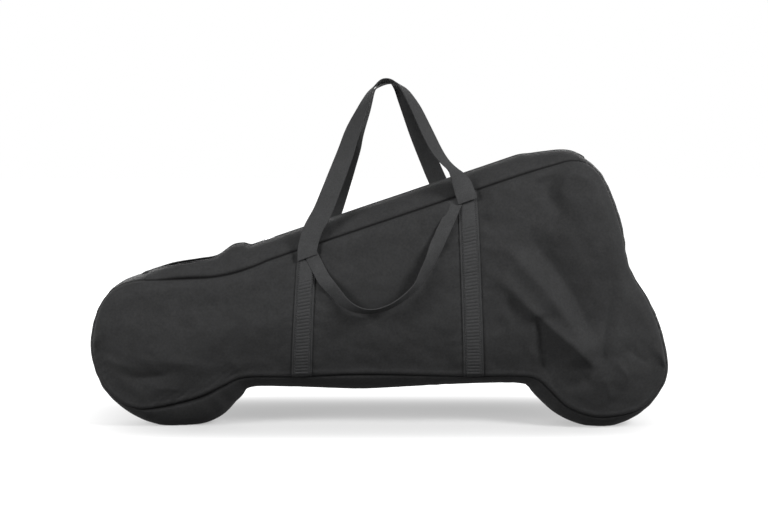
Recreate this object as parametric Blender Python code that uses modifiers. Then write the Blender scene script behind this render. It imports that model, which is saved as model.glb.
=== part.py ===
# Long carry bag with a low end and a tall end: two crowned panels, a gusset all
# round them, a zip along the sloping top, and four webbing handles.
# Metres. X runs along the bag from its low end to its tall end, Y from front to
# rear, Z up. The bag stands on the flats under its two ends, at z = 0.
import math

import bmesh
import bpy
from mathutils import Matrix, Vector

# Body
LENGTH = 1.125
SEAM_HALF = 0.075
DECK_HEIGHT = 0.104
LOW_END_HEIGHT = 0.297
RAMP_START_X = -0.207
RAMP_START_Z = 0.338
RAMP_ANGLE = math.radians(18.7)
TALL_END_HEIGHT = 0.529
PANEL_CROWN = 0.030
CROWN_REACH = 0.120
GUSSET_ROUND = 3.0
RAMP_CROWN = 0.033
TIP_CROWN = 0.012

# Cloth and webbing
PANEL_WALL = 0.0030
GUSSET_WALL = 0.0025
WEBBING_THICKNESS = 0.0022
STRAP_WIDTH = 0.038
SHORT_STRAP_WIDTH = 0.026
GAP = 0.0003
SEAM_GAP = 0.0008

# Zip
MOUTH_LOW_X = -0.455
MOUTH_RAMP_X = -0.240
MOUTH_HALF = 0.044
ZIP_TALL_X = 0.385
TRACK_END_X = 0.262
GUSSET_EDGE = 0.0080
TAPE_REACH = 0.0160
TAPE_THICKNESS = 0.0012
COIL_WIDTH = 0.0030
COIL_HEIGHT = 0.0017
SLIDER_LENGTH = 0.017
SLIDER_WALL = 0.0012
SLIDER_CLEARANCE = 0.0004
SLIDER_START = 0.001
EAR_HEIGHT = 0.0046
EAR_LENGTH = 0.0060
EAR_SPACE = 0.0044
PIN_RADIUS = 0.0008
PIN_CLEARANCE = 0.00025
BARREL_RADIUS = 0.0018
PULLER_LENGTH = 0.034
PULLER_WIDTH = 0.0090
PULLER_THICKNESS = 0.0014
END_TAB_LENGTH = 0.034
END_TAB_HALF_WIDTH = 0.019
NECK_LENGTH = 0.006
PIN_SEAT = 0.0003
MOUTH_LEAN = 1.6
TRACK_EASE = (0.004, 0.020)

# Inside
BINDING_DEPTH = 0.010
BINDING_THICKNESS = 0.0030

# Webbing strips on each panel, by their middles at the top seam
STRIPS = {"front": (-0.140, 0.170), "rear": (-0.128, 0.143)}
STRIP_SPLAY = 0.095

# Handles. Drops are straight down from the top seam; a hinge line joins two ends,
# and the short handle's ends lie in from its strips' middles.
LONG_BASE_DROPS = (0.019, 0.0145)
LONG_HEIGHT = 0.280
LONG_LEAN = math.radians(13.0)
SHORT_BASE_DROPS = (0.0695, 0.0650)
SHORT_BASE_INSETS = (0.032, -0.052)
SHORT_TAB_INSETS = (0.006, -0.023)
SHORT_DEPTH = 0.0955
SHORT_LEAN = math.radians(13.0)
TAB_START_DROP = 0.0070
HINGE_LAP = 0.0020

# Long handles, sewn end to sewn end: along the hinge line as a share of half the
# span, up from the line as a share of the height, and the turn out of the plane.
LONG_LOOPS = {
    "front": [
        (-1.00, 0.00, 0), (-0.945, 0.075, 0), (-0.825, 0.172, 2), (-0.655, 0.265, 5),
        (-0.475, 0.388, 10), (-0.31, 0.504, 16), (-0.15, 0.62, 24), (0.00, 0.738, 34),
        (0.178, 0.854, 50), (0.265, 0.912, 60), (0.36, 0.965, 70), (0.435, 0.988, 80),
        (0.53, 1.00, 88), (0.62, 0.982, 90), (0.69, 0.945, 86), (0.742, 0.89, 78),
        (0.777, 0.80, 70), (0.80, 0.72, 66), (0.825, 0.565, 62), (0.857, 0.41, 60),
        (0.902, 0.316, 64), (0.963, 0.238, 62), (1.00, 0.155, 28), (1.005, 0.07, 4),
        (1.00, 0.00, 0),
    ],
    "rear": [
        (-1.00, 0.00, 0), (-0.94, 0.06, 0), (-0.82, 0.12, 2), (-0.64, 0.204, 8),
        (-0.50, 0.29, 18), (-0.40, 0.352, 28), (-0.20, 0.474, 45), (-0.013, 0.597, 54),
        (0.075, 0.660, 62), (0.168, 0.722, 68), (0.262, 0.786, 70), (0.338, 0.846, 68),
        (0.405, 0.902, 68), (0.500, 0.960, 76), (0.610, 0.985, 86), (0.72, 0.987, 88),
        (0.793, 0.965, 82), (0.850, 0.905, 70), (0.876, 0.835, 58), (0.889, 0.75, 50),
        (0.894, 0.62, 42), (0.900, 0.508, 36), (0.917, 0.345, 28), (0.940, 0.175, 16),
        (0.965, 0.08, 6), (1.00, 0.00, 0),
    ],
}
# Short handles, the same way, down from the line.
SHORT_LOOP = [
    (-1.00, 0.00, 0), (-0.96, 0.14, 12), (-0.91, 0.286, 28), (-0.80, 0.616, 48),
    (-0.64, 0.837, 68), (-0.455, 0.963, 77), (-0.225, 1.00, 80), (0.042, 0.951, 78),
    (0.296, 0.829, 74), (0.42, 0.735, 70), (0.506, 0.625, 63), (0.60, 0.52, 54),
    (0.70, 0.412, 44), (0.84, 0.22, 26), (0.93, 0.09, 8), (1.00, 0.00, 0),
]

# How finely the curves are cut into flat faces
SEAM_STEPS = 8
TURN_REACH = 0.06
UPWARD = 0.2
OUTLINE_STRIDE = 3
ZIP_SPACING = 0.024
BASE_SPACING = 0.036
BINDING_SPACING = 0.036
PANEL_SPACING = 0.034
PANEL_SCAN = 0.0008
RAIL_INSET = 0.0015
COLUMN_ROOM = 0.010
ROW_SHARES = [0.0, 0.06, 0.17, 0.32, 0.50, 0.68, 0.83, 0.94, 1.0]
LOOP_STEPS = 2
LOOP_HEART = 0.4
END_BLEND = 0.9
TAB_STEPS = 4
BASE_SHARES = [0.0, 0.24, 0.46, 0.66, 0.84, 1.0]
TOP_SHARES = [0.0, 0.30, 0.57, 0.80, 1.0]

DARK_CLOTH = (0.030, 0.031, 0.034, 1.0)
DARK_WEBBING = (0.046, 0.047, 0.050, 1.0)
DARK_TAPE = (0.022, 0.022, 0.024, 1.0)
STEEL = (0.55, 0.55, 0.56, 1.0)

SIDES = {"front": -1, "rear": 1}


def clear_scene():
    for item in list(bpy.data.objects):
        bpy.data.objects.remove(item, do_unlink=True)


def make_collection(name):
    collection = bpy.data.collections.new(name)
    bpy.context.scene.collection.children.link(collection)
    return collection


def make_material(name, colour, roughness, metallic=0.0):
    material = bpy.data.materials.new(name)
    material.use_nodes = True
    shader = material.node_tree.nodes["Principled BSDF"]
    shader.inputs["Base Color"].default_value = colour
    shader.inputs["Roughness"].default_value = roughness
    shader.inputs["Metallic"].default_value = metallic
    material.diffuse_color = colour
    return material


def spline(points, steps, closed=False):
    """Smooth curve through points of any number of values, steps a span."""
    count = len(points)
    spans = count if closed else count - 1
    result = []
    for i in range(spans):
        if closed:
            a, b, c, d = (points[(i + k) % count] for k in (-1, 0, 1, 2))
        else:
            a, b, c, d = (points[min(max(i + k, 0), count - 1)] for k in (-1, 0, 1, 2))
        for s in range(steps):
            t = s / steps
            result.append(tuple(
                0.5 * (2 * q + (r - p) * t + (2 * p - 5 * q + 4 * r - w) * t * t
                       + (3 * q - p - 3 * r + w) * t ** 3)
                for p, q, r, w in zip(a, b, c, d)))
    if not closed:
        result.append(tuple(points[-1]))
    return result


def ramp_height(x):
    """Height of the top seam's straight run at x."""
    return RAMP_START_Z + (x - RAMP_START_X) * math.tan(RAMP_ANGLE)


def seam_points():
    """Seam between panel and gusset, clockwise from the low end's tip, with the
    gusset's crown at each point: (x, z, crown)."""
    low = -LENGTH / 2
    tall = LENGTH / 2
    top = TALL_END_HEIGHT
    deck = DECK_HEIGHT
    return [
        (low, 0.165, TIP_CROWN), (low + 0.008, 0.218, 0.010), (low + 0.024, 0.257, 0.005),
        (low + 0.049, LOW_END_HEIGHT - 0.015, 0.004), (low + 0.090, LOW_END_HEIGHT - 0.002, 0.006),
        (low + 0.140, LOW_END_HEIGHT, 0.019), (low + 0.195, LOW_END_HEIGHT + 0.002, 0.026),
        (low + 0.240, LOW_END_HEIGHT + 0.005, 0.032),
        (RAMP_START_X - 0.070, ramp_height(RAMP_START_X - 0.070) - 0.003, 0.048),
        (RAMP_START_X - 0.028, ramp_height(RAMP_START_X - 0.028) - 0.002, 0.038),
        (RAMP_START_X, RAMP_START_Z, RAMP_CROWN), (-0.090, ramp_height(-0.090), RAMP_CROWN),
        (0.060, ramp_height(0.060), RAMP_CROWN), (0.200, ramp_height(0.200), RAMP_CROWN),
        (0.270, ramp_height(0.270), RAMP_CROWN), (tall - 0.226, top - 0.009, 0.024),
        (tall - 0.188, top, 0.016), (tall - 0.155, top - 0.009, 0.008),
        (tall - 0.131, top - 0.034, 0.008), (tall - 0.112, top - 0.075, 0.010),
        (tall - 0.092, top - 0.135, 0.010), (tall - 0.078, top - 0.200, 0.005),
        (tall - 0.062, top - 0.235, 0.005), (tall - 0.038, top - 0.275, 0.008),
        (tall - 0.014, 0.195, 0.011), (tall, 0.122, TIP_CROWN), (tall - 0.013, 0.079, 0.014),
        (tall - 0.047, 0.041, 0.017), (tall - 0.095, 0.026, 0.028), (tall - 0.143, 0.025, 0.029),
        (tall - 0.192, 0.043, 0.028), (tall - 0.228, 0.077, 0.030),
        (tall - 0.252, deck - 0.006, 0.027), (tall - 0.290, deck + 0.001, 0.022),
        (0.150, deck + 0.001, 0.024), (-0.024, deck + 0.005, 0.038), (-0.175, deck, 0.029),
        (low + 0.300, deck - 0.001, 0.030), (low + 0.258, deck - 0.017, 0.045),
        (low + 0.215, 0.066, 0.060), (low + 0.171, 0.053, 0.059), (low + 0.125, 0.043, 0.049),
        (low + 0.090, 0.040, 0.030), (low + 0.056, 0.052, 0.017), (low + 0.024, 0.083, 0.014),
        (low + 0.006, 0.122, TIP_CROWN),
    ]


def track_crown(x, z, normal):
    """Crown that puts the gusset's ridge on the zip's straight track."""
    up = Vector((-math.sin(RAMP_ANGLE), 0, math.cos(RAMP_ANGLE)))
    start = Vector((RAMP_START_X, 0, RAMP_START_Z)) + up * RAMP_CROWN
    return (start - Vector((x, 0, z))).dot(up) / normal.dot(up)


def seam_stations():
    """Dense run round the seam: place, outward normal and crown of each point."""
    rows = spline(seam_points(), SEAM_STEPS, closed=True)
    count = len(rows)
    stations = []
    for i, (x, z, crown) in enumerate(rows):
        before, after = rows[i - 1], rows[(i + 1) % count]
        along = Vector((after[0] - before[0], 0, after[1] - before[1])).normalized()
        normal = Vector((-along.z, 0, along.x))
        if MOUTH_RAMP_X - TRACK_EASE[0] <= x <= TRACK_END_X + TRACK_EASE[1] and normal.z > 0:
            crown = track_crown(x, z, normal)
        stations.append({"at": Vector((x, 0, z)), "normal": normal, "crown": crown})
    return stations


def split_stations(stations):
    """Top run under the zip, and base run round the ends and the deck."""
    def index_of(x):
        tops = [i for i, s in enumerate(stations) if s["normal"].z > UPWARD]
        return min(tops, key=lambda i: abs(stations[i]["at"].x - x))
    first, last = index_of(MOUTH_LOW_X), index_of(ZIP_TALL_X)
    return stations[first:last + 1], stations[last:] + stations[:first + 1]


def thin(stations, spacing):
    """Stations about spacing apart, closer where the run turns, both ends kept."""
    kept = [stations[0]]
    for station in stations[1:-1]:
        step = (station["at"] - kept[-1]["at"]).length
        turn = station["normal"].angle(kept[-1]["normal"])
        if step + turn * TURN_REACH >= spacing:
            kept.append(station)
    if (kept[-1]["at"] - stations[-1]["at"]).length < spacing / 3 and len(kept) > 2:
        kept.pop()
    kept.append(stations[-1])
    return kept


def trim_ends(stations, gap):
    """The same run with both ends drawn in by a gap."""
    result = list(stations)
    for end, near in ((0, 1), (-1, -2)):
        a, b = result[end], result[near]
        share = gap / (b["at"] - a["at"]).length
        result[end] = {"at": a["at"].lerp(b["at"], share),
                       "normal": a["normal"].lerp(b["normal"], share).normalized(),
                       "crown": a["crown"] + (b["crown"] - a["crown"]) * share}
    return result


def mouth_half(x):
    """Half the opening between the two zip edges at x."""
    if not MOUTH_LOW_X < x < MOUTH_RAMP_X:
        return 0.0
    t = (MOUTH_RAMP_X - x) / (MOUTH_RAMP_X - MOUTH_LOW_X)
    return MOUTH_HALF * math.sin(math.pi * t ** MOUTH_LEAN) ** MOUTH_LEAN


def gusset_point(station, reach, lift=0.0, side=-1, edge=None):
    """Point of the gusset, reach out from the zip edge towards the seam, raised
    square to the cloth by lift."""
    if edge is None:
        edge = mouth_half(station["at"].x) if station["normal"].z > UPWARD else 0.0
    room = SEAM_HALF - edge
    share = min(reach / room, 1.0)
    rise = station["crown"] * (1 - share ** GUSSET_ROUND)
    slope = station["crown"] * GUSSET_ROUND * share ** (GUSSET_ROUND - 1) / room
    across = Vector((0, side, 0))
    square = (station["normal"] + across * slope).normalized()
    point = station["at"] + station["normal"] * rise + across * min(edge + reach, SEAM_HALF)
    point += square * lift
    point.z = max(point.z, 0.0)
    return point


def tape_lift():
    """Level of the zip tape's face, under the gusset's cloth."""
    return -(GUSSET_WALL + SEAM_GAP)


def coil_lift():
    """Level of the zip coil's top."""
    return tape_lift() + GAP + COIL_HEIGHT


def build_mesh(name, rows, ring=False, flip=False):
    """Open sheet of quads through equal rows of points."""
    mesh = bpy.data.meshes.new(name)
    work = bmesh.new()
    grid = [[work.verts.new(p) for p in row] for row in rows]
    pairs = list(zip(grid, grid[1:]))
    if ring:
        pairs.append((grid[-1], grid[0]))
    for a, b in pairs:
        for k in range(len(a) - 1):
            corners = [a[k], b[k], b[k + 1], a[k + 1]]
            if flip:
                corners.reverse()
            work.faces.new(corners)
    for face in work.faces:
        face.smooth = True
    work.to_mesh(mesh)
    work.free()
    return mesh


def add_sheet(name, rows, thickness, material, home, offset=-1.0, ring=False, flip=False):
    """Sheet given its thickness; offset -1 grows it inwards, 1 outwards."""
    item = bpy.data.objects.new(name, build_mesh(name, rows, ring, flip))
    home.objects.link(item)
    item.data.materials.append(material)
    wall = item.modifiers.new("Wall", "SOLIDIFY")
    wall.thickness = thickness
    wall.offset = offset
    return item


def seam_distance(x, z, outline):
    """Distance of a panel point from the seam."""
    best = 1.0
    for i, a in enumerate(outline):
        b = outline[i - 1]
        dx, dz = b[0] - a[0], b[1] - a[1]
        t = ((x - a[0]) * dx + (z - a[1]) * dz) / (dx * dx + dz * dz)
        t = min(max(t, 0.0), 1.0)
        best = min(best, math.hypot(x - a[0] - dx * t, z - a[1] - dz * t))
    return best


def panel_depth(x, z, outline):
    """How far the panel's outer face stands from the middle plane."""
    share = 1 - min(seam_distance(x, z, outline) / CROWN_REACH, 1.0)
    return SEAM_HALF + GAP + PANEL_WALL + PANEL_CROWN * (1 - share * share)


def on_panel(x, z, outline, side, proud):
    """Point of a panel's outer face, or proud of it."""
    return Vector((x, side * (panel_depth(x, z, outline) + proud), z))


def height_on(rail, x):
    """Height of a rail at x; the rail is a run of (x, z) with x rising."""
    if x <= rail[0][0]:
        return rail[0][1]
    for (xa, za), (xb, zb) in zip(rail, rail[1:]):
        if x <= xb:
            return za + (zb - za) * (x - xa) / (xb - xa) if xb > xa else zb
    return rail[-1][1]


def panel_rails(stations):
    """Top and bottom rails of a panel, each from the low tip to the tall tip."""
    points = [(s["at"].x, s["at"].z) for s in stations]
    low = min(range(len(points)), key=lambda i: points[i][0])
    tall = max(range(len(points)), key=lambda i: points[i][0])
    round_trip = points[low:] + points[:low]
    split = (tall - low) % len(points)
    top = round_trip[:split + 1]
    bottom = round_trip[split:] + [round_trip[0]]
    return top, bottom[::-1]


def splay(x):
    """How far a rung's lower end stands out from its upper end."""
    return STRIP_SPLAY * x * (1 - (2 * x / LENGTH) ** 2)


def rung(column, rails):
    """Upper and lower end of a panel's rung, from x on the top seam to x below."""
    above, below = column
    return (above, height_on(rails[0], above)), (below, height_on(rails[1], below))


def strip_columns(middle):
    """Rungs along a webbing strip's edges and middle, the strip even in width."""
    return [(middle + k * STRAP_WIDTH / 2, middle + k * STRAP_WIDTH / 2 + splay(middle))
            for k in (-1, 0, 1)]


def panel_columns(rails, strips):
    """Rungs of a panel, even along its rails, with one on each edge of a strip."""
    low, tall = RAIL_INSET - LENGTH / 2, LENGTH / 2 - RAIL_INSET
    columns = [(low, low)]
    last = rung(columns[0], rails)
    x = low + PANEL_SCAN
    while x < tall:
        column = (x, x + splay(x))
        here = rung(column, rails)
        if max(math.dist(here[0], last[0]), math.dist(here[1], last[1])) > PANEL_SPACING:
            columns.append(column)
            last = here
        x += PANEL_SCAN
    columns.append((tall, tall))
    edges = [column for middle in strips for column in strip_columns(middle)]
    clear = [c for c in columns if min(abs(c[0] - e[0]) for e in edges) > COLUMN_ROOM]
    return sorted(clear + edges)


def panel_row(column, rails, outline, side, proud=0.0):
    """Points up one rung of a panel's outer face."""
    (xt, zt), (xb, zb) = rung(column, rails)
    points = []
    for share in ROW_SHARES:
        px, pz = xb + (xt - xb) * share, zb + (zt - zb) * share
        points.append(on_panel(px, pz, outline, side, proud))
    return points


def add_panels(rails, outline, material, home):
    for word, side in SIDES.items():
        columns = panel_columns(rails, STRIPS[word])
        rows = [panel_row(column, rails, outline, side) for column in columns]
        add_sheet(word + "_panel", rows, PANEL_WALL, material, home, flip=side > 0)


def add_strips(rails, outline, material, home):
    """Webbing sewn flat up each panel, from the bottom seam to the top seam."""
    for word, side in SIDES.items():
        for place, middle in zip(("low", "tall"), STRIPS[word]):
            columns = strip_columns(middle)
            rows = [panel_row(column, rails, outline, side, GAP) for column in columns]
            name = "webbing_" + word + "_" + place
            add_sheet(name, rows, WEBBING_THICKNESS, material, home, 1.0, flip=side > 0)


def add_top_gussets(top_run, material, home):
    """Front and rear halves of the top gusset, from the zip tape to the seam."""
    for word, side in SIDES.items():
        rows = []
        for station in trim_ends(thin(top_run, ZIP_SPACING), GAP):
            room = SEAM_HALF - mouth_half(station["at"].x) - TAPE_REACH
            reaches = [GUSSET_EDGE] + [TAPE_REACH + room * k for k in TOP_SHARES]
            rows.append([gusset_point(station, reach, side=side) for reach in reaches])
        add_sheet("top_gusset_" + word, rows, GUSSET_WALL, material, home, flip=side < 0)


def add_base_gusset(base_run, material, home):
    """One strip round both ends and the deck."""
    rows = []
    for station in trim_ends(thin(base_run, BASE_SPACING), SEAM_GAP):
        front = [gusset_point(station, SEAM_HALF * k, side=-1) for k in reversed(BASE_SHARES)]
        rear = [gusset_point(station, SEAM_HALF * k, side=1) for k in BASE_SHARES[1:]]
        rows.append(front + rear)
    add_sheet("base_gusset", rows, GUSSET_WALL, material, home)


def add_zip_edges(top_run, tape, coil, home):
    """Zip tapes sewn under both gusset halves, each with its coil."""
    run = trim_ends(thin(top_run, ZIP_SPACING), END_TAB_LENGTH / 8)
    coil_outer = GAP + COIL_WIDTH
    reaches = (GAP, GUSSET_EDGE, TAPE_REACH - GAP)
    for word, side in SIDES.items():
        rows = [[gusset_point(s, r, tape_lift(), side) for r in reaches] for s in run]
        add_sheet("zip_tape_" + word, rows, TAPE_THICKNESS, tape, home, flip=side < 0)
        rows = [[gusset_point(s, r, coil_lift(), side) for r in (GAP, coil_outer)] for s in run]
        add_sheet("zip_coil_" + word, rows, COIL_HEIGHT, coil, home, flip=side < 0)


def add_end_tabs(stations, material, home):
    """Cloth tabs sewn over the zip's two ends."""
    tops = [s for s in stations if s["normal"].z > UPWARD]
    for word, x in (("low", MOUTH_LOW_X), ("tall", ZIP_TALL_X)):
        near = [s for s in tops if abs(s["at"].x - x) <= END_TAB_LENGTH / 2]
        reaches = [END_TAB_HALF_WIDTH * k for k in (1.0, 0.5, 0.0)]
        rows = []
        for station in thin(near, END_TAB_LENGTH / 4):
            front = [gusset_point(station, r, SEAM_GAP, -1, 0.0) for r in reaches]
            rear = [gusset_point(station, r, SEAM_GAP, 1, 0.0) for r in reversed(reaches[:-1])]
            rows.append(front + rear)
        add_sheet("zip_end_tab_" + word, rows, GUSSET_WALL / 2, material, home, 1.0)


def add_bindings(stations, material, home):
    """Tape bound over the seam's raw edges inside the bag, all the way round."""
    inset = GUSSET_WALL + SEAM_GAP
    run = thin(stations, BINDING_SPACING)
    for word, side in SIDES.items():
        rows = []
        for station in run:
            outer = station["at"] - station["normal"] * inset
            inner = station["at"] - station["normal"] * (inset + BINDING_DEPTH)
            outer.y = inner.y = side * (SEAM_HALF - SEAM_GAP)
            rows.append([outer, inner])
        name = "seam_binding_" + word
        add_sheet(name, rows, BINDING_THICKNESS, material, home, ring=True, flip=side < 0)


def add_box(name, size, middle, home):
    """Plain block, its size and middle in its own frame."""
    mesh = bpy.data.meshes.new(name)
    work = bmesh.new()
    bmesh.ops.create_cube(work, size=1.0)
    bmesh.ops.scale(work, vec=size, verts=work.verts)
    bmesh.ops.translate(work, vec=middle, verts=work.verts)
    work.to_mesh(mesh)
    work.free()
    item = bpy.data.objects.new(name, mesh)
    home.objects.link(item)
    return item


def add_rod(name, radius, length, middle, home):
    """Round bar along Y."""
    mesh = bpy.data.meshes.new(name)
    work = bmesh.new()
    bmesh.ops.create_cone(work, cap_ends=True, segments=20, radius1=radius, radius2=radius,
                          depth=length)
    quarter_turn = Matrix.Rotation(math.pi / 2, 3, "X")
    bmesh.ops.rotate(work, verts=work.verts, cent=(0, 0, 0), matrix=quarter_turn)
    bmesh.ops.translate(work, vec=middle, verts=work.verts)
    work.to_mesh(mesh)
    work.free()
    mesh.shade_smooth()
    mesh.set_sharp_from_angle(angle=math.radians(40))
    item = bpy.data.objects.new(name, mesh)
    home.objects.link(item)
    return item


def combine(item, others, operation):
    """Joins other shapes to an object, or cuts them from it."""
    for other in others:
        other.hide_render = True
        other.display_type = "WIRE"
        step = item.modifiers.new(operation.title(), "BOOLEAN")
        step.operation = operation
        step.object = other


def slope_frame():
    """Directions along the sloping seam and up from it."""
    along = Vector((math.cos(RAMP_ANGLE), 0, math.sin(RAMP_ANGLE)))
    up = Vector((-math.sin(RAMP_ANGLE), 0, math.cos(RAMP_ANGLE)))
    return along, up


def track_point(distance, lift):
    """Point over the zip's straight track, distance up it from the mouth."""
    along, up = slope_frame()
    start = Vector((RAMP_START_X, 0, RAMP_START_Z)) + up * RAMP_CROWN
    back = (MOUTH_RAMP_X - start.x) / along.x
    return start + along * (back + distance) + up * lift


def place_all(items, place):
    for item in items:
        item.matrix_world = place


def add_slider(metal, home, cutters):
    """Slider over the coils; returns where its pin lies."""
    plate_low = coil_lift() + SLIDER_CLEARANCE
    plate_top = plate_low + SLIDER_WALL
    inner_half = GAP + COIL_WIDTH + SLIDER_CLEARANCE
    width = 2 * (inner_half + SLIDER_WALL)
    pin_height = plate_top + BARREL_RADIUS + SLIDER_CLEARANCE
    along_turn = Matrix.Rotation(-RAMP_ANGLE, 4, "Y")
    start = track_point(SLIDER_LENGTH / 2 + SLIDER_START, 0.0)
    place = Matrix.Translation(start) @ along_turn

    slider = add_box("zip_slider", (SLIDER_LENGTH, width, SLIDER_WALL),
                     (0, 0, plate_low + SLIDER_WALL / 2), home)
    flange_low = tape_lift() + SLIDER_CLEARANCE
    flange_height = plate_top - flange_low
    ear_height = EAR_HEIGHT + SLIDER_WALL / 2
    joined = []
    for side in SIDES.values():
        flange_middle = (0, side * (inner_half + SLIDER_WALL / 2), flange_low + flange_height / 2)
        flange_size = (SLIDER_LENGTH, SLIDER_WALL, flange_height)
        joined.append(add_box("slider_flange", flange_size, flange_middle, cutters))
        ear_middle = (0, side * (EAR_SPACE + SLIDER_WALL) / 2,
                      plate_top - SLIDER_WALL / 2 + ear_height / 2)
        joined.append(add_box("slider_ear", (EAR_LENGTH, SLIDER_WALL, ear_height), ear_middle,
                              cutters))
    seat = add_rod("pin_seat", PIN_RADIUS + PIN_SEAT, width, (0, 0, pin_height), cutters)
    combine(slider, joined, "UNION")
    combine(slider, [seat], "DIFFERENCE")
    slider.data.materials.append(metal)
    place_all([slider, seat] + joined, place)

    pin_place = place @ Matrix.Translation((0, 0, pin_height))
    pin_length = EAR_SPACE + 2 * SLIDER_WALL
    pin = add_rod("slider_pin", PIN_RADIUS, pin_length, (0, 0, 0), home)
    pin.data.materials.append(metal)
    pin.matrix_world = pin_place
    return pin_place, pin_height


def add_puller(pin_place, pin_height, metal, home, cutters):
    """Puller on the slider's pin, lying back along the zip."""
    droop = math.asin((pin_height - PULLER_THICKNESS / 2 - SLIDER_CLEARANCE) / PULLER_LENGTH)
    barrel = EAR_SPACE - 2 * PIN_CLEARANCE
    neck_end = EAR_LENGTH / 2 + NECK_LENGTH / 2
    neck_size = (neck_end - PIN_RADIUS, barrel - 2 * GAP, PULLER_THICKNESS - 2 * GAP)
    tab_length = PULLER_LENGTH - neck_end
    tab_size = (tab_length, PULLER_WIDTH, PULLER_THICKNESS)

    puller = add_rod("zip_puller", BARREL_RADIUS, barrel, (0, 0, 0), home)
    neck = add_box("puller_neck", neck_size, ((neck_end + PIN_RADIUS) / 2 + GAP, 0, 0), cutters)
    tab = add_box("puller_tab", tab_size, (neck_end + tab_length / 2, 0, 0), cutters)
    bore = add_rod("puller_bore", PIN_RADIUS + PIN_CLEARANCE, PULLER_WIDTH, (0, 0, 0), cutters)
    combine(puller, [neck, tab], "UNION")
    combine(puller, [bore], "DIFFERENCE")
    puller.data.materials.append(metal)
    place_all([puller, neck, tab, bore], pin_place @ Matrix.Rotation(droop, 4, "Y"))


def seam_line_point(x):
    """Point of the straight top seam at x."""
    return Vector((x, 0, ramp_height(x)))


def hinge_ends(word, insets, drops, width, proud, outline):
    """Ends of a handle's hinge line, straight down from the top seam, as far out as
    the panel reaches under either end of the strap."""
    along, up = slope_frame()
    ends = []
    depths = []
    for middle, inset, drop in zip(STRIPS[word], insets, drops):
        end = seam_line_point(middle + inset)
        end.z -= drop
        ends.append(end)
        for k in (-1, 0, 1):
            spot = end + along * (k * width / 2) - up * HINGE_LAP
            depths.append(panel_depth(spot.x, spot.z, outline))
    for end in ends:
        end.y = SIDES[word] * (max(depths) + proud)
    return ends


def layer_height(count):
    """Face of so many layers of webbing on a panel."""
    return count * (GAP + WEBBING_THICKNESS)


def tab_proud():
    """Back of a short handle's tab, over the strip it is sewn to."""
    return layer_height(1) + SEAM_GAP


def long_hinge(word, outline):
    """Hinge line of a long handle, in front of its two strips."""
    proud = layer_height(1) + GAP + WEBBING_THICKNESS / 2
    return hinge_ends(word, (0, 0), LONG_BASE_DROPS, STRAP_WIDTH, proud, outline)


def short_hinge(word, outline):
    """Hinge line of a short handle, in front of its sewn tabs."""
    proud = tab_proud() + WEBBING_THICKNESS + GAP + WEBBING_THICKNESS / 2
    return hinge_ends(word, SHORT_BASE_INSETS, SHORT_BASE_DROPS, SHORT_STRAP_WIDTH, proud,
                      outline)


def loop_rows(ends, shape, height, lean, width, side, down):
    """Rows across a strap that makes a loop from one hinge end to the other. It
    leans in over the bag when it stands, and out from it when it hangs down. The
    rows turn from square across the strap to level with the hinge line at its ends."""
    middle = (ends[0] + ends[1]) / 2
    half = (ends[1] - ends[0]).length / 2
    along = (ends[1] - ends[0]).normalized()
    front = Vector((0, side, 0))
    rise = along.cross(front) * side
    away = rise * math.cos(lean) - front * math.sin(lean)
    if down:
        away = front * math.sin(lean) - rise * math.cos(lean)
    face = front * math.cos(lean) + rise * math.sin(lean)
    points = spline(shape, LOOP_STEPS)
    places = [middle + along * (a * half) + away * (b * height) for a, b, turn in points]
    heart = middle + away * height * LOOP_HEART
    last = len(places) - 1
    rows = []
    for i, place in enumerate(places):
        run = (places[min(i + 1, last)] - places[max(i - 1, 0)]).normalized()
        outside = face.cross(run)
        if outside.dot(place - heart) < 0:
            outside.negate()
        turn = math.radians(points[i][2])
        skin = face * math.cos(turn) + outside * math.sin(turn)
        square = run.cross(skin).normalized()
        level = along if square.dot(along) > 0 else -along
        clear = points[i][1] * height / (width * END_BLEND)
        across = level.lerp(square, min(clear, 1.0))
        across *= width / 2 / run.cross(across).length
        rows.append([place - across, place, place + across])
    return rows


def add_handles(outline, material, home):
    """Webbing loops: two that stand over the bag, two that hang on its panels."""
    for word, side in SIDES.items():
        rows = loop_rows(long_hinge(word, outline), LONG_LOOPS[word], LONG_HEIGHT, LONG_LEAN,
                         STRAP_WIDTH, side, False)
        add_sheet("long_handle_" + word, rows, WEBBING_THICKNESS, material, home, 0.0)
        rows = loop_rows(short_hinge(word, outline), SHORT_LOOP, SHORT_DEPTH, SHORT_LEAN,
                         SHORT_STRAP_WIDTH, side, True)
        add_sheet("short_handle_" + word, rows, WEBBING_THICKNESS, material, home, 0.0)


def add_short_tabs(outline, material, home):
    """Sewn ends of the short handles, from under the long handle to the hinge."""
    along, up = slope_frame()
    proud = tab_proud()
    for word, side in SIDES.items():
        ends = short_hinge(word, outline)
        for i, place in enumerate(("low", "tall")):
            x = STRIPS[word][i] + SHORT_TAB_INSETS[i]
            start = seam_line_point(x)
            start.z -= LONG_BASE_DROPS[i] + TAB_START_DROP
            stop = Vector((ends[i].x, 0, ends[i].z)) - up * HINGE_LAP
            run = (stop - start).normalized()
            across = along * (SHORT_STRAP_WIDTH / 2 / run.cross(along).length)
            rows = []
            for step in range(TAB_STEPS + 1):
                centre = start.lerp(stop, step / TAB_STEPS)
                spots = (centre - across, centre, centre + across)
                rows.append([on_panel(s.x, s.z, outline, side, proud) for s in spots])
            name = "short_handle_tab_" + word + "_" + place
            add_sheet(name, rows, WEBBING_THICKNESS, material, home, 1.0, flip=side > 0)


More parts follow.
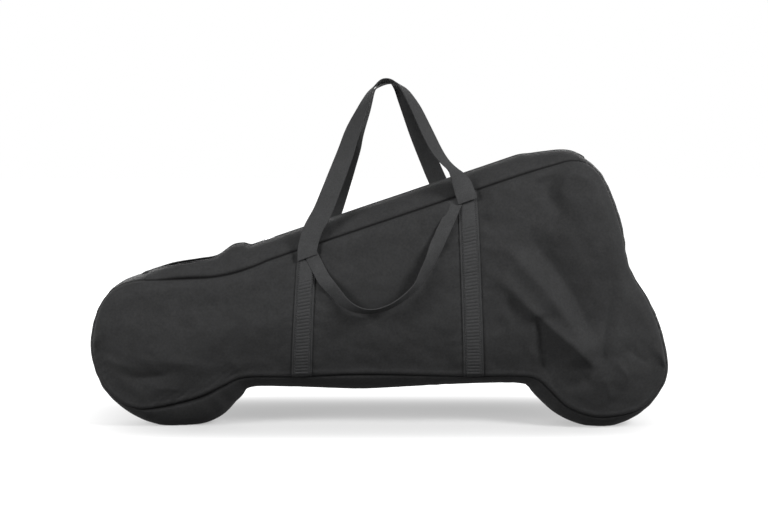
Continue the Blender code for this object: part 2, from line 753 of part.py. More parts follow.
def build():
    clear_scene()
    home = make_collection("carry_bag")
    cutters = make_collection("cutters")
    cloth = make_material("bag_cloth", DARK_CLOTH, 0.75)
    webbing = make_material("webbing", DARK_WEBBING, 0.70)
    tape = make_material("zip_tape", DARK_TAPE, 0.80)
    coil = make_material("zip_coil", DARK_TAPE, 0.45)
    metal = make_material("slider_metal", STEEL, 0.30, 1.0)

    stations = seam_stations()
    top_run, base_run = split_stations(stations)
    rails = panel_rails(stations)
    outline = [(s["at"].x, s["at"].z) for s in stations[::OUTLINE_STRIDE]]

    add_panels(rails, outline, cloth, home)
    add_top_gussets(top_run, cloth, home)
    add_base_gusset(base_run, cloth, home)
    add_zip_edges(top_run, tape, coil, home)
    add_end_tabs(stations, cloth, home)
    add_bindings(stations, tape, home)
    pin_place, pin_height = add_slider(metal, home, cutters)
    add_puller(pin_place, pin_height, metal, home, cutters)
    add_strips(rails, outline, webbing, home)
    add_short_tabs(outline, webbing, home)
    add_handles(outline, webbing, home)


build()
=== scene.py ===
import math

import bpy
import numpy as np
from mathutils import Matrix, Vector, noise


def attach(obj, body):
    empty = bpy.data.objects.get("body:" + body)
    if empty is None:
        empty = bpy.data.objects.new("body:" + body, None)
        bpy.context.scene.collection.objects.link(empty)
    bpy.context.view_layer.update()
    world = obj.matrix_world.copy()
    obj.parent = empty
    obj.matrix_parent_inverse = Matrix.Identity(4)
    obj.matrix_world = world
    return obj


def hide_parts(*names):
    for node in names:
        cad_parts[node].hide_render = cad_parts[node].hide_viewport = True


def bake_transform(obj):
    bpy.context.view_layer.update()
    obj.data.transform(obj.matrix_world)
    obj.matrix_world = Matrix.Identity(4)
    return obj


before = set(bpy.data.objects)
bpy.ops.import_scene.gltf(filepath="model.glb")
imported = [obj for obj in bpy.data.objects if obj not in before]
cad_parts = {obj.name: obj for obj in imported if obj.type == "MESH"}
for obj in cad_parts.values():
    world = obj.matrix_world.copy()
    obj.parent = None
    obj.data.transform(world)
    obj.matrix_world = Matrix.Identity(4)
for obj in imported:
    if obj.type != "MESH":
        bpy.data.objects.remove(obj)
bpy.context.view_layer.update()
print("frame loaded")

# Metres. X runs from the low end to the tall end, Y from front to rear, Z up.
bag = {
    "length": 1.125,
    "seamHalf": 0.075,
    "deck": 0.104,
    "lowEnd": 0.297,
    "rampX": -0.207,
    "rampZ": 0.338,
    "rampAngle": math.radians(18.7),
    "rampCrown": 0.033,
    "tallEnd": 0.529,
    "tipCrown": 0.012,
    "panelCrown": 0.030,
    "crownReach": 0.120,
    "crownEase": (0.030, 0.060),  # the soft crown map takes over between these distances
    "gussetRound": 3.0,
    "panelWall": 0.0030,
    "gussetWall": 0.0025,
    "gap": 0.0003,
    "seamGap": 0.0008,
    "seamSteps": 12,
    "outlineStride": 3,
    "upward": 0.2,
    "clothShare": 0.8,  # of a solid's wall, as thick as its cloth is made
}
zipper = {
    "lowX": -0.455,
    "rampX": -0.240,
    "tallX": 0.385,
    "mouthHalf": 0.044,
    "mouthLean": 1.6,
    "trackEndX": 0.262,
    "trackEase": 0.016,
    "gussetEdge": 0.0080,
    "tapeReach": 0.0160,
    "tapeWall": 0.0012,
    "coilWidth": 0.0030,
    "coilHeight": 0.0017,
    "toothPitch": 0.0017,
    "toothWidth": 0.0011,
    "toothOverlap": 0.0006,
    "tabLength": 0.034,
    "tabHalf": 0.019,
}
strap = {
    "width": 0.038,
    "shortWidth": 0.026,
    "wall": 0.0022,
    "splay": 0.095,
    "strips": {"front": (-0.140, 0.170), "rear": (-0.128, 0.143)},
    "longDrops": (0.019, 0.0145),
    "longHeight": 0.280,
    "shortDrops": (0.0695, 0.0650),
    "shortInsets": (0.032, -0.052),
    "shortDepth": 0.0955,
    "lean": math.radians(13.0),
    "hingeLap": 0.0020,
    "heart": 0.4,
    "endBlend": 0.9,
    "steps": 12,
    "edgeRound": 0.0007,
}
sides = {"front": -1, "rear": 1}  # which way along Y
gap = bag["gap"]
slope = np.array([math.cos(bag["rampAngle"]), 0, math.sin(bag["rampAngle"])])
upSlope = np.array([-math.sin(bag["rampAngle"]), 0, math.cos(bag["rampAngle"])])
trackStart = np.array([bag["rampX"], 0, bag["rampZ"]]) + upSlope * bag["rampCrown"]


def seamPoints():
    # seam between panel and gusset, clockwise from the low tip: x, z and the gusset's crown
    low = -bag["length"] / 2
    tall = bag["length"] / 2
    top = bag["tallEnd"]
    deck = bag["deck"]
    end = bag["lowEnd"]
    crown = bag["rampCrown"]
    tip = bag["tipCrown"]
    ramp = bag["rampX"]
    return [
        (low, 0.165, tip), (low + 0.008, 0.218, 0.010), (low + 0.024, 0.257, 0.005),
        (low + 0.049, end - 0.015, 0.004), (low + 0.090, end - 0.002, 0.006),
        (low + 0.140, end, 0.019), (low + 0.195, end + 0.002, 0.026),
        (low + 0.240, end + 0.005, 0.032),
        (ramp - 0.070, rampHeight(ramp - 0.070) - 0.003, 0.048),
        (ramp - 0.028, rampHeight(ramp - 0.028) - 0.002, 0.038),
        (ramp, bag["rampZ"], crown), (-0.090, rampHeight(-0.090), crown),
        (0.060, rampHeight(0.060), crown), (0.200, rampHeight(0.200), crown),
        (0.270, rampHeight(0.270), crown), (tall - 0.226, top - 0.009, 0.024),
        (tall - 0.188, top, 0.016), (tall - 0.155, top - 0.009, 0.008),
        (tall - 0.131, top - 0.034, 0.008), (tall - 0.112, top - 0.075, 0.010),
        (tall - 0.092, top - 0.135, 0.010), (tall - 0.078, top - 0.200, 0.005),
        (tall - 0.062, top - 0.235, 0.005), (tall - 0.038, top - 0.275, 0.008),
        (tall - 0.014, 0.195, 0.011), (tall, 0.122, tip), (tall - 0.013, 0.079, 0.014),
        (tall - 0.047, 0.041, 0.017), (tall - 0.095, 0.026, 0.028), (tall - 0.143, 0.025, 0.029),
        (tall - 0.192, 0.043, 0.028), (tall - 0.228, 0.077, 0.030),
        (tall - 0.252, deck - 0.006, 0.027), (tall - 0.290, deck + 0.001, 0.022),
        (0.150, deck + 0.001, 0.024), (-0.024, deck + 0.005, 0.038), (-0.175, deck, 0.029),
        (low + 0.300, deck - 0.001, 0.030), (low + 0.258, deck - 0.017, 0.045),
        (low + 0.215, 0.066, 0.060), (low + 0.171, 0.053, 0.059), (low + 0.125, 0.043, 0.049),
        (low + 0.090, 0.040, 0.030), (low + 0.056, 0.052, 0.017), (low + 0.024, 0.083, 0.014),
        (low + 0.006, 0.122, tip),
    ]


def rampHeight(x):
    return bag["rampZ"] + (x - bag["rampX"]) * math.tan(bag["rampAngle"])


def splineRun(points, steps, closed=False):
    # smooth curve through points of any number of values
    points = np.array(points, float)
    count = len(points)
    t = (np.arange(steps) / steps)[:, None]
    rows = []
    for i in range(count if closed else count - 1):
        near = [(i + k) % count if closed else min(max(i + k, 0), count - 1)
                for k in (-1, 0, 1, 2)]
        p, q, r, w = points[near]
        rows.append(0.5 * (2 * q + (r - p) * t + (2 * p - 5 * q + 4 * r - w) * t ** 2
                           + (3 * q - p - 3 * r + w) * t ** 3))
    if not closed:
        rows.append(points[-1:])
    return np.concatenate(rows)


def lengthAlong(points):
    # distance run from the first point, at each point of a line
    steps = np.linalg.norm(np.diff(points, axis=0), axis=1)
    return np.concatenate([[0], np.cumsum(steps)])


def readLine(rows, length, spots):
    # a line's rows at distances run along it
    return np.stack([np.interp(spots, length, column) for column in rows.T], axis=1)


def smoothStep(value, low, high):
    t = np.clip((value - low) / (high - low), 0, 1)
    return t * t * (3 - 2 * t)


def unit(vectors):
    return vectors / np.linalg.norm(vectors, axis=-1, keepdims=True)


def squareTo(runs, vectors):
    # the part of each vector that is square to its run, at length 1
    return unit(vectors - runs * np.sum(runs * vectors, axis=1, keepdims=True))


def seamStations():
    # place, outward normal and crown, dense round the whole seam
    rows = splineRun(seamPoints(), bag["seamSteps"], closed=True)
    x, z, crown = rows.T
    step = unit(np.roll(rows[:, :2], -1, axis=0) - np.roll(rows[:, :2], 1, axis=0))
    nx, nz = -step[:, 1], step[:, 0]
    upX, upZ = upSlope[0], upSlope[2]
    level = np.maximum(nx * upX + nz * upZ, bag["upward"])
    straight = ((trackStart[0] - x) * upX + (trackStart[2] - z) * upZ) / level
    ease = zipper["trackEase"]
    share = smoothStep(x, zipper["rampX"] - ease, zipper["rampX"])
    share = share * (1 - smoothStep(x, zipper["trackEndX"] + ease, zipper["trackEndX"] + 3 * ease))
    share = share * (nz > bag["upward"])
    crown = crown + (straight - crown) * share
    return np.stack([x, z, nx, nz, crown], axis=1)


def makeRun(rows):
    # a stretch of the seam that can be read at any share of its length
    return {"rows": rows, "length": lengthAlong(rows[:, :2])}


def readRun(run, u):
    # place, outward normal, crown and distance run, at the shares u of a run
    total = run["length"][-1]
    values = [np.interp(u * total, run["length"], run["rows"][:, k]) for k in range(5)]
    bend = np.hypot(values[2], values[3])
    values[2], values[3] = values[2] / bend, values[3] / bend
    return values + [u * total]


def nearest(places, x):
    return places[np.argmin(abs(stations[places, 0] - x))]


def seamRails():
    # top and bottom seam as heights over x
    low, tall = np.argmin(stations[:, 0]), np.argmax(stations[:, 0])
    trip = np.roll(stations[:, :2], -low, axis=0)
    split = (tall - low) % len(stations)
    top = trip[:split + 1]
    bottom = np.concatenate([trip[split:], trip[:1]])[::-1]
    return [(np.maximum.accumulate(rail[:, 0]), rail[:, 1]) for rail in (top, bottom)]


stations = seamStations()
outline = stations[::bag["outlineStride"], :2]
rails = seamRails()
tops = np.nonzero(stations[:, 3] > bag["upward"])[0]
firstTop, lastTop = nearest(tops, zipper["lowX"]), nearest(tops, zipper["tallX"])
topRun = makeRun(stations[firstTop:lastTop + 1])
baseRun = makeRun(np.concatenate([stations[lastTop:], stations[:firstTop + 1]]))
ringRun = makeRun(np.concatenate([stations, stations[:1]]))


def mouthHalf(x):
    t = (zipper["rampX"] - x) / (zipper["rampX"] - zipper["lowX"])
    inside = (t > 0) & (t < 1)
    lean = zipper["mouthLean"]
    wave = np.sin(math.pi * np.clip(t, 0, 1) ** lean)
    return np.where(inside, zipper["mouthHalf"] * np.clip(wave, 0, 1) ** lean, 0.0)


def gussetPoints(station, reach, lift, side, edge=None):
    # points of the gusset, reach out from the zip edge, raised square to the cloth by lift
    x, z, nx, nz, crown = station[:5]
    if edge is None:
        edge = np.where(nz > bag["upward"], mouthHalf(x), 0.0)
    room = bag["seamHalf"] - edge
    power = bag["gussetRound"]
    share = np.clip(reach / room, 0, 1)
    rise = crown * (1 - share ** power)
    steep = crown * power * share ** (power - 1) / room
    square = unit(np.stack([nx, side * steep, nz], axis=-1))
    points = np.stack([x + nx * rise, side * np.minimum(edge + reach, bag["seamHalf"]) + 0 * x,
                       z + nz * rise], axis=-1)
    points = points + square * np.asarray(lift + 0 * x)[..., None]
    points[..., 2] = np.maximum(points[..., 2], 0.0)
    return points


def seamDistance(x, z):
    best = np.full(np.shape(x), 1.0)
    for a, b in zip(outline, np.roll(outline, 1, axis=0)):
        dx, dz = b - a
        t = np.clip(((x - a[0]) * dx + (z - a[1]) * dz) / (dx * dx + dz * dz), 0, 1)
        best = np.minimum(best, np.hypot(x - a[0] - dx * t, z - a[1] - dz * t))
    return best


def plainCrown(reach):
    share = 1 - np.minimum(reach / bag["crownReach"], 1)
    return bag["panelCrown"] * (1 - share * share)


crownGrid = {"x": (-0.60, 0.60, 241), "z": (-0.05, 0.60, 131), "blurs": 3, "blurReach": 3}


def crownMap():
    # the panel's crown on a coarse map, blurred so that no ridge shows where two seams are near
    xs = np.linspace(*crownGrid["x"])
    zs = np.linspace(*crownGrid["z"])
    crown = plainCrown(seamDistance(*np.meshgrid(xs, zs, indexing="ij")))
    reach = crownGrid["blurReach"]
    for axis in (0, 1) * crownGrid["blurs"]:
        crown = sum(np.roll(crown, k, axis=axis) for k in range(-reach, reach + 1)) / (2 * reach + 1)
    return xs, zs, crown


crownXs, crownZs, softCrown = crownMap()


def mapPlace(value, places):
    # cell and share of the cell where a value lies, always inside the map
    at = np.clip((value - places[0]) / (places[1] - places[0]), 0, len(places) - 1.001)
    cell = at.astype(int)
    return cell, at - cell


def readMap(x, z):
    a, s = mapPlace(x, crownXs)
    b, t = mapPlace(z, crownZs)
    return (softCrown[a, b] * (1 - s) * (1 - t) + softCrown[a + 1, b] * s * (1 - t)
            + softCrown[a, b + 1] * (1 - s) * t + softCrown[a + 1, b + 1] * s * t)


# Folds of the cloth: the path on the panel, how far it stands out, its width on the left and the
# right of the path, and how much of its two ends fades away
folds = {
    "front": [
        ([(0.216, 0.392), (0.262, 0.345), (0.306, 0.296), (0.348, 0.243), (0.383, 0.196), (0.420, 0.140)],
         0.0150, (0.017, 0.038), (0.3, 0.10)),
        ([(0.275, 0.402), (0.314, 0.350), (0.354, 0.297), (0.388, 0.240), (0.418, 0.165)], -0.0160,
         (0.036, 0.017), (0.35, 0.2)),
        ([(0.190, 0.330), (0.241, 0.289), (0.290, 0.243), (0.338, 0.200), (0.383, 0.162), (0.425, 0.122)],
         0.0125, (0.014, 0.010), (0.35, 0.10)),
        ([(0.304, 0.236), (0.309, 0.200), (0.313, 0.160), (0.322, 0.120), (0.338, 0.088)], -0.0095,
         (0.032, 0.006), (0.12, 0.35)),
        ([(0.470, 0.350), (0.459, 0.305), (0.448, 0.262), (0.437, 0.193), (0.431, 0.121)], -0.0072,
         (0.010, 0.036), (0.45, 0.15)),
        ([(0.490, 0.330), (0.481, 0.290), (0.470, 0.245), (0.457, 0.185), (0.445, 0.130)], 0.0050,
         (0.024, 0.014), (0.5, 0.3)),
        ([(0.191, 0.440), (0.197, 0.4225), (0.216, 0.399), (0.286, 0.329)], -0.0048, (0.007, 0.007),
         (0.2, 0.4)),
        ([(0.205, 0.415), (0.240, 0.372), (0.290, 0.325)], 0.0034, (0.006, 0.009), (0.3, 0.5)),
        ([(0.212, 0.310), (0.249, 0.273), (0.272, 0.199)], -0.0040, (0.008, 0.010), (0.4, 0.4)),
        ([(0.225, 0.262), (0.246, 0.222), (0.256, 0.170)], 0.0030, (0.008, 0.008), (0.4, 0.4)),
        ([(0.365, 0.530), (0.359, 0.500), (0.350, 0.470), (0.328, 0.447)], 0.0130, (0.060, 0.020),
         (0.05, 0.35)),
        ([(0.340, 0.525), (0.334, 0.497), (0.324, 0.470), (0.300, 0.452)], -0.0110, (0.016, 0.044),
         (0.05, 0.45)),
        ([(0.452, 0.150), (0.474, 0.122), (0.492, 0.088)], 0.0036, (0.009, 0.012), (0.3, 0.4)),
        ([(0.470, 0.170), (0.500, 0.148), (0.528, 0.130)], -0.0028, (0.009, 0.009), (0.3, 0.4)),
        ([(0.436, 0.112), (0.446, 0.080), (0.462, 0.056)], 0.0030, (0.009, 0.012), (0.2, 0.4)),
        ([(0.410, 0.112), (0.384, 0.092), (0.352, 0.080)], -0.0040, (0.014, 0.014), (0.2, 0.5)),
        ([(0.405, 0.523), (0.420, 0.505), (0.437, 0.486)], -0.0036, (0.007, 0.007), (0.2, 0.5)),
        ([(-0.268, 0.108), (-0.290, 0.140), (-0.312, 0.180)], 0.0036, (0.012, 0.012), (0.2, 0.6)),
        ([(-0.520, 0.120), (-0.470, 0.106), (-0.420, 0.112), (-0.385, 0.128)], -0.0046, (0.012, 0.012),
         (0.4, 0.4)),
        ([(-0.500, 0.152), (-0.430, 0.140), (-0.350, 0.132), (-0.300, 0.118)], 0.0046, (0.018, 0.024),
         (0.35, 0.35)),
        ([(-0.545, 0.150), (-0.505, 0.132), (-0.470, 0.122)], 0.0030, (0.008, 0.010), (0.3, 0.4)),
        ([(-0.455, 0.076), (-0.415, 0.084), (-0.372, 0.076)], 0.0032, (0.009, 0.012), (0.4, 0.4)),
        ([(-0.345, 0.262), (-0.312, 0.236), (-0.292, 0.196)], -0.0030, (0.012, 0.016), (0.3, 0.5)),
    ],
    "rear": [
        ([(0.225, 0.360), (0.300, 0.300), (0.352, 0.225), (0.400, 0.150)], 0.0065, (0.016, 0.022),
         (0.3, 0.3)),
        ([(0.260, 0.250), (0.315, 0.205), (0.370, 0.150)], 0.0050, (0.012, 0.014), (0.3, 0.3)),
        ([(0.330, 0.300), (0.372, 0.250), (0.412, 0.180)], -0.0040, (0.012, 0.012), (0.3, 0.3)),
        ([(0.345, 0.520), (0.338, 0.480), (0.350, 0.430)], -0.0050, (0.018, 0.014), (0.1, 0.7)),
        ([(-0.260, 0.108), (-0.300, 0.150), (-0.350, 0.200)], 0.0035, (0.014, 0.014), (0.2, 0.6)),
        ([(-0.500, 0.200), (-0.440, 0.160), (-0.370, 0.140)], -0.0025, (0.016, 0.016), (0.4, 0.4)),
    ],
}
mounds = {  # middle, reach along x and z, height
    "front": [((0.432, 0.405), (0.062, 0.100), 0.0090), ((-0.455, 0.215), (0.060, 0.060), 0.0030)],
    "rear": [((0.415, 0.400), (0.060, 0.080), 0.0050), ((-0.440, 0.200), (0.070, 0.060), 0.0040)],
}
cloth = {
    "foldFall": 1.35,  # how sharply a fold's height falls off to its sides
    "foldSteps": 6,
    "foldStart": (0.003, 0.030),  # the folds begin between these distances from the seam
    "rumple": 0.0024,
    "rumpleSize": 0.075,
    "crinkle": 0.0014,
    "crinkleSize": 0.022,
    "crinkleSlant": 0.4,
    "rollDepth": 0.0080,
    "rollReach": 0.0066,
    "rollPower": 2.8,
    "ridge": 0.0005,
    "ridgePlace": 0.0085,
    "ridgeWidth": 0.0030,
    "pucker": 0.0009,
    "puckerPitch": 0.026,
    "puckerPatch": 0.11,
    "puckerReach": 0.030,
    "puckerMiddle": 0.25,  # height about which the puckers turn
    "puckerTurn": 0.3,
    "leastHeight": 0.02,
    "topFill": 0.0110,
    "fullReach": 0.014,
    "fullShares": (0.40, 0.65),
    "footSlack": 0.0050,
    "slackReach": 0.034,
    "slackShares": (0.25, 0.50),
    "flatBeside": (-0.002, 0.012),  # a strip holds the cloth flat to this far past its edge
    "flatShare": 0.8,
    "fillUnder": (-0.030, -0.004),
    "stripEdge": 0.001,
    "stripLap": 0.004,
    "stripDip": 0.0016,
    "stripDipReach": 0.0045,
    "ripple": 0.0016,
    "ripplePitch": 0.024,
    "ripplePatch": 0.05,
    "rippleReach": 0.022,
    "rippleSlant": 0.35,
    # painted shade along the seams and in the gap beside the strips, and how far it reaches
    "seamShadeReach": 0.0030,
    "stripShadeReach": 0.0014,
    "stripPaintedShade": 0.6,
}
seeds = {
    "rumple": 3.1,
    "crinkle": 5.2,
    "pucker": 7.7,
    "ripple": 9.4,
    "gussetTop": 1.3,
    "gussetBase": 5.3,
}


def foldHeight(x, z, path, height, widths, fades):
    path = splineRun(path, cloth["foldSteps"])
    length = lengthAlong(path)
    near = np.full(x.shape, 1.0)
    hand = np.zeros(x.shape)
    share = np.zeros(x.shape)
    for i in range(len(path) - 1):
        ax, az = path[i]
        dx, dz = path[i + 1] - path[i]
        t = np.clip(((x - ax) * dx + (z - az) * dz) / (dx * dx + dz * dz), 0, 1)
        away = np.hypot(x - ax - dx * t, z - az - dz * t)
        closer = away < near
        near = np.where(closer, away, near)
        hand = np.where(closer, dx * (z - az) - dz * (x - ax), hand)
        here = (length[i] + t * (length[i + 1] - length[i])) / length[-1]
        share = np.where(closer, here, share)
    width = np.where(hand > 0, *widths)
    fade = smoothStep(share, 0, fades[0]) * (1 - smoothStep(share, 1 - fades[1], 1))
    return height * fade * np.exp(-(near / width) ** cloth["foldFall"])


def rumple(x, z, size, seed):
    return np.array([noise.noise(Vector((a / size, seed, b / size))) for a, b in zip(x, z)])


def stripLine(middle, z):
    # x of a webbing strip's middle at height z
    top = rampHeight(middle)
    foot = bag["deck"]
    return middle + strapSplay(middle) * (top - z) / (top - foot)


def strapSplay(x):
    return strap["splay"] * x * (1 - (2 * x / bag["length"]) ** 2)


def swell(reach, peak):
    # rises to 1 at the distance peak from the seam, then dies away
    return reach / peak * np.exp(1 - reach / peak)


def wrinkles(x, z, word):
    # folds, mounds and rumples of the open cloth
    relief = np.zeros(x.shape)
    for fold in folds[word]:
        relief += foldHeight(x, z, *fold)
    for (mx, mz), (rx, rz), height in mounds[word]:
        relief += height * np.exp(-((x - mx) / rx) ** 2 - ((z - mz) / rz) ** 2)
    relief += cloth["rumple"] * rumple(x, z, cloth["rumpleSize"], seeds["rumple"])
    slanted = x + cloth["crinkleSlant"] * z
    relief += cloth["crinkle"] * rumple(slanted, z, cloth["crinkleSize"], seeds["crinkle"])
    return relief


def panelRelief(x, z, word):
    # everything that the cloth does beyond its plain crown
    reach = seamDistance(x, z)
    relief = wrinkles(x, z, word) * smoothStep(reach, *cloth["foldStart"])
    around = x - z + cloth["puckerTurn"] * np.arctan2(z - cloth["puckerMiddle"], x)
    pucker = np.sin(2 * math.pi * around / cloth["puckerPitch"])
    pucker = pucker * rumple(x, z, cloth["puckerPatch"], seeds["pucker"])
    relief += cloth["pucker"] * pucker * np.exp(-(reach / cloth["puckerReach"]) ** 2)
    top, foot = (np.interp(x, *rail) for rail in rails)
    share = (z - foot) / np.maximum(top - foot, cloth["leastHeight"])
    bulge = cloth["topFill"] * swell(reach, cloth["fullReach"]) * smoothStep(share, *cloth["fullShares"])
    slack = 1 - smoothStep(share, *cloth["slackShares"])
    bulge -= cloth["footSlack"] * swell(reach, cloth["slackReach"]) * slack
    for middle in strap["strips"][word]:
        off = abs(x - stripLine(middle, z)) - strap["width"] / 2
        relief *= 1 - cloth["flatShare"] * (1 - smoothStep(off, *cloth["flatBeside"]))
        bulge *= 1 - smoothStep(-off, *cloth["fillUnder"])
        outside = np.maximum(off - cloth["stripEdge"], 0)
        dip = np.exp(-(outside / cloth["stripDipReach"]) ** 2)
        relief -= cloth["stripDip"] * dip * (off > -cloth["stripLap"])
        ripple = np.sin(2 * math.pi * (z + cloth["rippleSlant"] * off) / cloth["ripplePitch"])
        ripple = ripple * rumple(x, z, cloth["ripplePatch"], seeds["ripple"])
        fade = np.exp(-(outside / cloth["rippleReach"]) ** 2)
        relief += cloth["ripple"] * ripple * fade * (off > 0)
    return relief + bulge


def seamRoll(reach):
    # how far the cloth turns in at the seam, past a small ridge of folded cloth
    ridge = cloth["ridge"] * np.exp(-((reach - cloth["ridgePlace"]) / cloth["ridgeWidth"]) ** 2)
    turn = np.clip(1 - reach / cloth["rollReach"], 0, 1) ** cloth["rollPower"]
    return cloth["rollDepth"] * turn - ridge


def seamPaintedShade(reach):
    # 1 where shade is painted into the seam's groove, 0 on the open cloth
    return np.clip(1 - reach / cloth["seamShadeReach"], 0, 1)


def panelDepth(x, z):
    # how far the plain panel stands from the middle plane
    reach = seamDistance(x, z)
    soft = smoothStep(reach, *bag["crownEase"])
    crown = plainCrown(reach) * (1 - soft) + readMap(x, z) * soft
    return bag["seamHalf"] + gap + bag["panelWall"] + crown


print("seam and panel shapes worked out")


# Modelling helpers

def startClean():
    if bpy.context.mode != "OBJECT":
        bpy.ops.object.mode_set(mode="OBJECT")
    bpy.ops.object.select_all(action="DESELECT")


def pick(item):
    startClean()
    item.select_set(True)
    bpy.context.view_layer.objects.active = item


def applyModifier(item, kind, **settings):
    pick(item)
    step = item.modifiers.new(kind.title(), kind)
    for key, value in settings.items():
        setattr(step, key, value)
    bpy.ops.object.modifier_apply(modifier=step.name)


def smooth(item, degrees):
    pick(item)
    bpy.ops.object.shade_smooth_by_angle(angle=math.radians(degrees))


def newObject(name, data):
    item = bpy.data.objects.new(name, data)
    bpy.context.scene.collection.objects.link(item)
    return item


def verticesOf(mesh):
    spots = np.empty(len(mesh.vertices) * 3, np.float32)
    mesh.vertices.foreach_get("co", spots)
    return spots.reshape(-1, 3).astype(float)


def flatFloats(values):
    return np.ascontiguousarray(values, np.float32).ravel()


def sheetPiece(name, columns, rows, shape, wall, offset=-1.0, turned=False, rounded=0.0):
    # a grid laid where shape says for its shares u and v, with its cloth size as its UV map
    startClean()
    bpy.ops.mesh.primitive_grid_add(x_subdivisions=columns, y_subdivisions=rows, size=2.0)
    item = bpy.context.active_object
    item.name = name
    mesh = item.data
    spots = verticesOf(mesh)
    u, v = (spots[:, 0] + 1) / 2, (spots[:, 1] + 1) / 2
    if turned:
        u = 1 - u
    points, flat, *paintedShade = shape(np.round(u * columns) / columns, np.round(v * rows) / rows)
    mesh.vertices.foreach_set("co", flatFloats(points))
    corner = np.empty(len(mesh.loops), np.int32)
    mesh.loops.foreach_get("vertex_index", corner)
    mesh.uv_layers[0].data.foreach_set("uv", flatFloats(flat[corner]))
    # a third value from shape is painted shade for seams and grooves, stored on the points for the
    # cloth's material to darken it
    if paintedShade:
        shadeMarks = mesh.attributes.new("paintedShade", "FLOAT", "POINT")
        shadeMarks.data.foreach_set("value", flatFloats(paintedShade[0]))
    mesh.update()
    applyModifier(item, "SOLIDIFY", thickness=wall, offset=offset, use_even_offset=False)
    if rounded:
        applyModifier(item, "BEVEL", width=rounded, segments=2, limit_method="ANGLE",
                      angle_limit=math.radians(50))
    smooth(item, 60)
    return item


def finishPiece(item, material, body, slotName, *nodes):
    item.data.materials.clear()
    item.data.materials.append(material)
    if body:
        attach(item, body)
    if nodes:
        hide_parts(*nodes)
    return item


def sortedShape(mesh):
    # vertices and faces in an order of their own, because extruding stores them in any order
    spots = verticesOf(mesh)
    order = np.lexsort(spots.T)
    rank = np.argsort(order).tolist()
    faces = []
    for face in mesh.polygons:
        corners = [rank[k] for k in face.vertices]
        first = corners.index(min(corners))
        faces.append(corners[first:] + corners[:first])
    return spots[order], sorted(faces)


def repeatShape(name, shape, origins, xs, ys, zs):
    # copies of a small modelled shape in one mesh, one for each place
    spots, faces = sortedShape(shape.data)
    points = (origins[:, None, :] + spots[None, :, 0:1] * xs[:, None, :]
              + spots[None, :, 1:2] * ys[:, None, :] + spots[None, :, 2:3] * zs[:, None, :])
    count = len(spots)
    allFaces = [tuple(k + i * count for k in face) for i in range(len(origins)) for face in faces]
    made = bpy.data.meshes.new(name)
    made.from_pydata(points.reshape(-1, 3).tolist(), [], allFaces)
    made.update()
    item = newObject(name, made)
    smooth(item, 50)
    return item


def roundedBox(name, size, middle, bevel, taper=1.0):
    startClean()
    bpy.ops.mesh.primitive_cube_add(size=1.0)
    item = bpy.context.active_object
    item.name = name
    item.data.transform(Matrix.Diagonal((*size, 1.0)))
    for corner in item.data.vertices:
        if corner.co.x > 0:
            corner.co.y *= taper
    item.data.transform(Matrix.Translation(middle))
    applyModifier(item, "BEVEL", width=bevel, segments=3)
    return item


def roundBar(radius, length, rotation, corners):
    startClean()
    bpy.ops.mesh.primitive_cylinder_add(vertices=corners, radius=radius, depth=length,
                                        rotation=rotation)
    item = bpy.context.active_object
    bpy.ops.object.transform_apply(location=True, rotation=True, scale=True)
    return item


def markEnd(item, axis, way):
    # select a bar's one face that looks this way along an axis
    for face in item.data.polygons:
        face.select = face.normal[axis] * way > 0.9


def joinAll(items, name):
    startClean()
    for item in items:
        item.select_set(True)
    bpy.context.view_layer.objects.active = items[0]
    bpy.ops.object.join()
    items[0].name = name
    return items[0]


# Materials

def newMaterial(name, colour, roughness, metallic=0.0, specular=0.5, sheen=0.0):
    material = bpy.data.materials.new(name)
    material.use_nodes = True
    shader = shaderOf(material)
    shader.inputs["Base Color"].default_value = (*colour, 1.0)
    shader.inputs["Roughness"].default_value = roughness
    shader.inputs["Metallic"].default_value = metallic
    shader.inputs["Specular IOR Level"].default_value = specular
    shader.inputs["Sheen Weight"].default_value = sheen
    shader.inputs["Sheen Roughness"].default_value = 0.45
    return material


def shaderOf(material):
    return material.node_tree.nodes["Principled BSDF"]


def addNode(owner, kind, values=None, **settings):
    # a node of a material or of the world
    node = owner.node_tree.nodes.new(kind)
    for key, value in settings.items():
        setattr(node, key, value)
    for key, value in (values or {}).items():
        node.inputs[key].default_value = value
    return node


def link(owner, start, end):
    owner.node_tree.links.new(start, end)


look = {
    "threadLight": 1.12,
    "threadShare": 0.5,
    "paintedShadeFull": 0.7,  # at this mark the painted shade of seams and grooves is full
    # how dark the painted shade in seams, grooves and between ribs gets
    "paintedShadeTone": 0.15,
    "cloudDetail": 7.0,
    "cloudRough": 0.62,
    "cloudTwist": 0.6,
    "slubScale": 260.0,
    "slubDetail": 3.0,
    "slubDepth": 0.0004,
    "roughSpread": 0.06,
    "weaveDepth": 0.0003,
    "cloudRange": (0.30, 0.70),
    "mottleDetail": 4.0,
    "mottleRange": (0.3, 0.7),
}


def noiseOf(material, scale, detail, **more):
    # noise that stays put on the object
    where = addNode(material, "ShaderNodeTexCoord")
    spots = addNode(material, "ShaderNodeTexNoise", {"Scale": scale, "Detail": detail, **more})
    link(material, where.outputs["Object"], spots.inputs["Vector"])
    return spots.outputs["Fac"]


def remap(material, value, toMin, toMax, fromMin=0.0, fromMax=1.0):
    node = addNode(material, "ShaderNodeMapRange", {"From Min": fromMin, "From Max": fromMax,
                                                    "To Min": toMin, "To Max": toMax})
    link(material, value, node.inputs["Value"])
    return node.outputs["Result"]


def multiply(material, tone, shade, factor=1.0):
    node = addNode(material, "ShaderNodeMix", {"Factor": factor}, data_type="RGBA",
                   blend_type="MULTIPLY")
    link(material, tone, node.inputs["A"])
    link(material, shade, node.inputs["B"])
    return node.outputs["Result"]


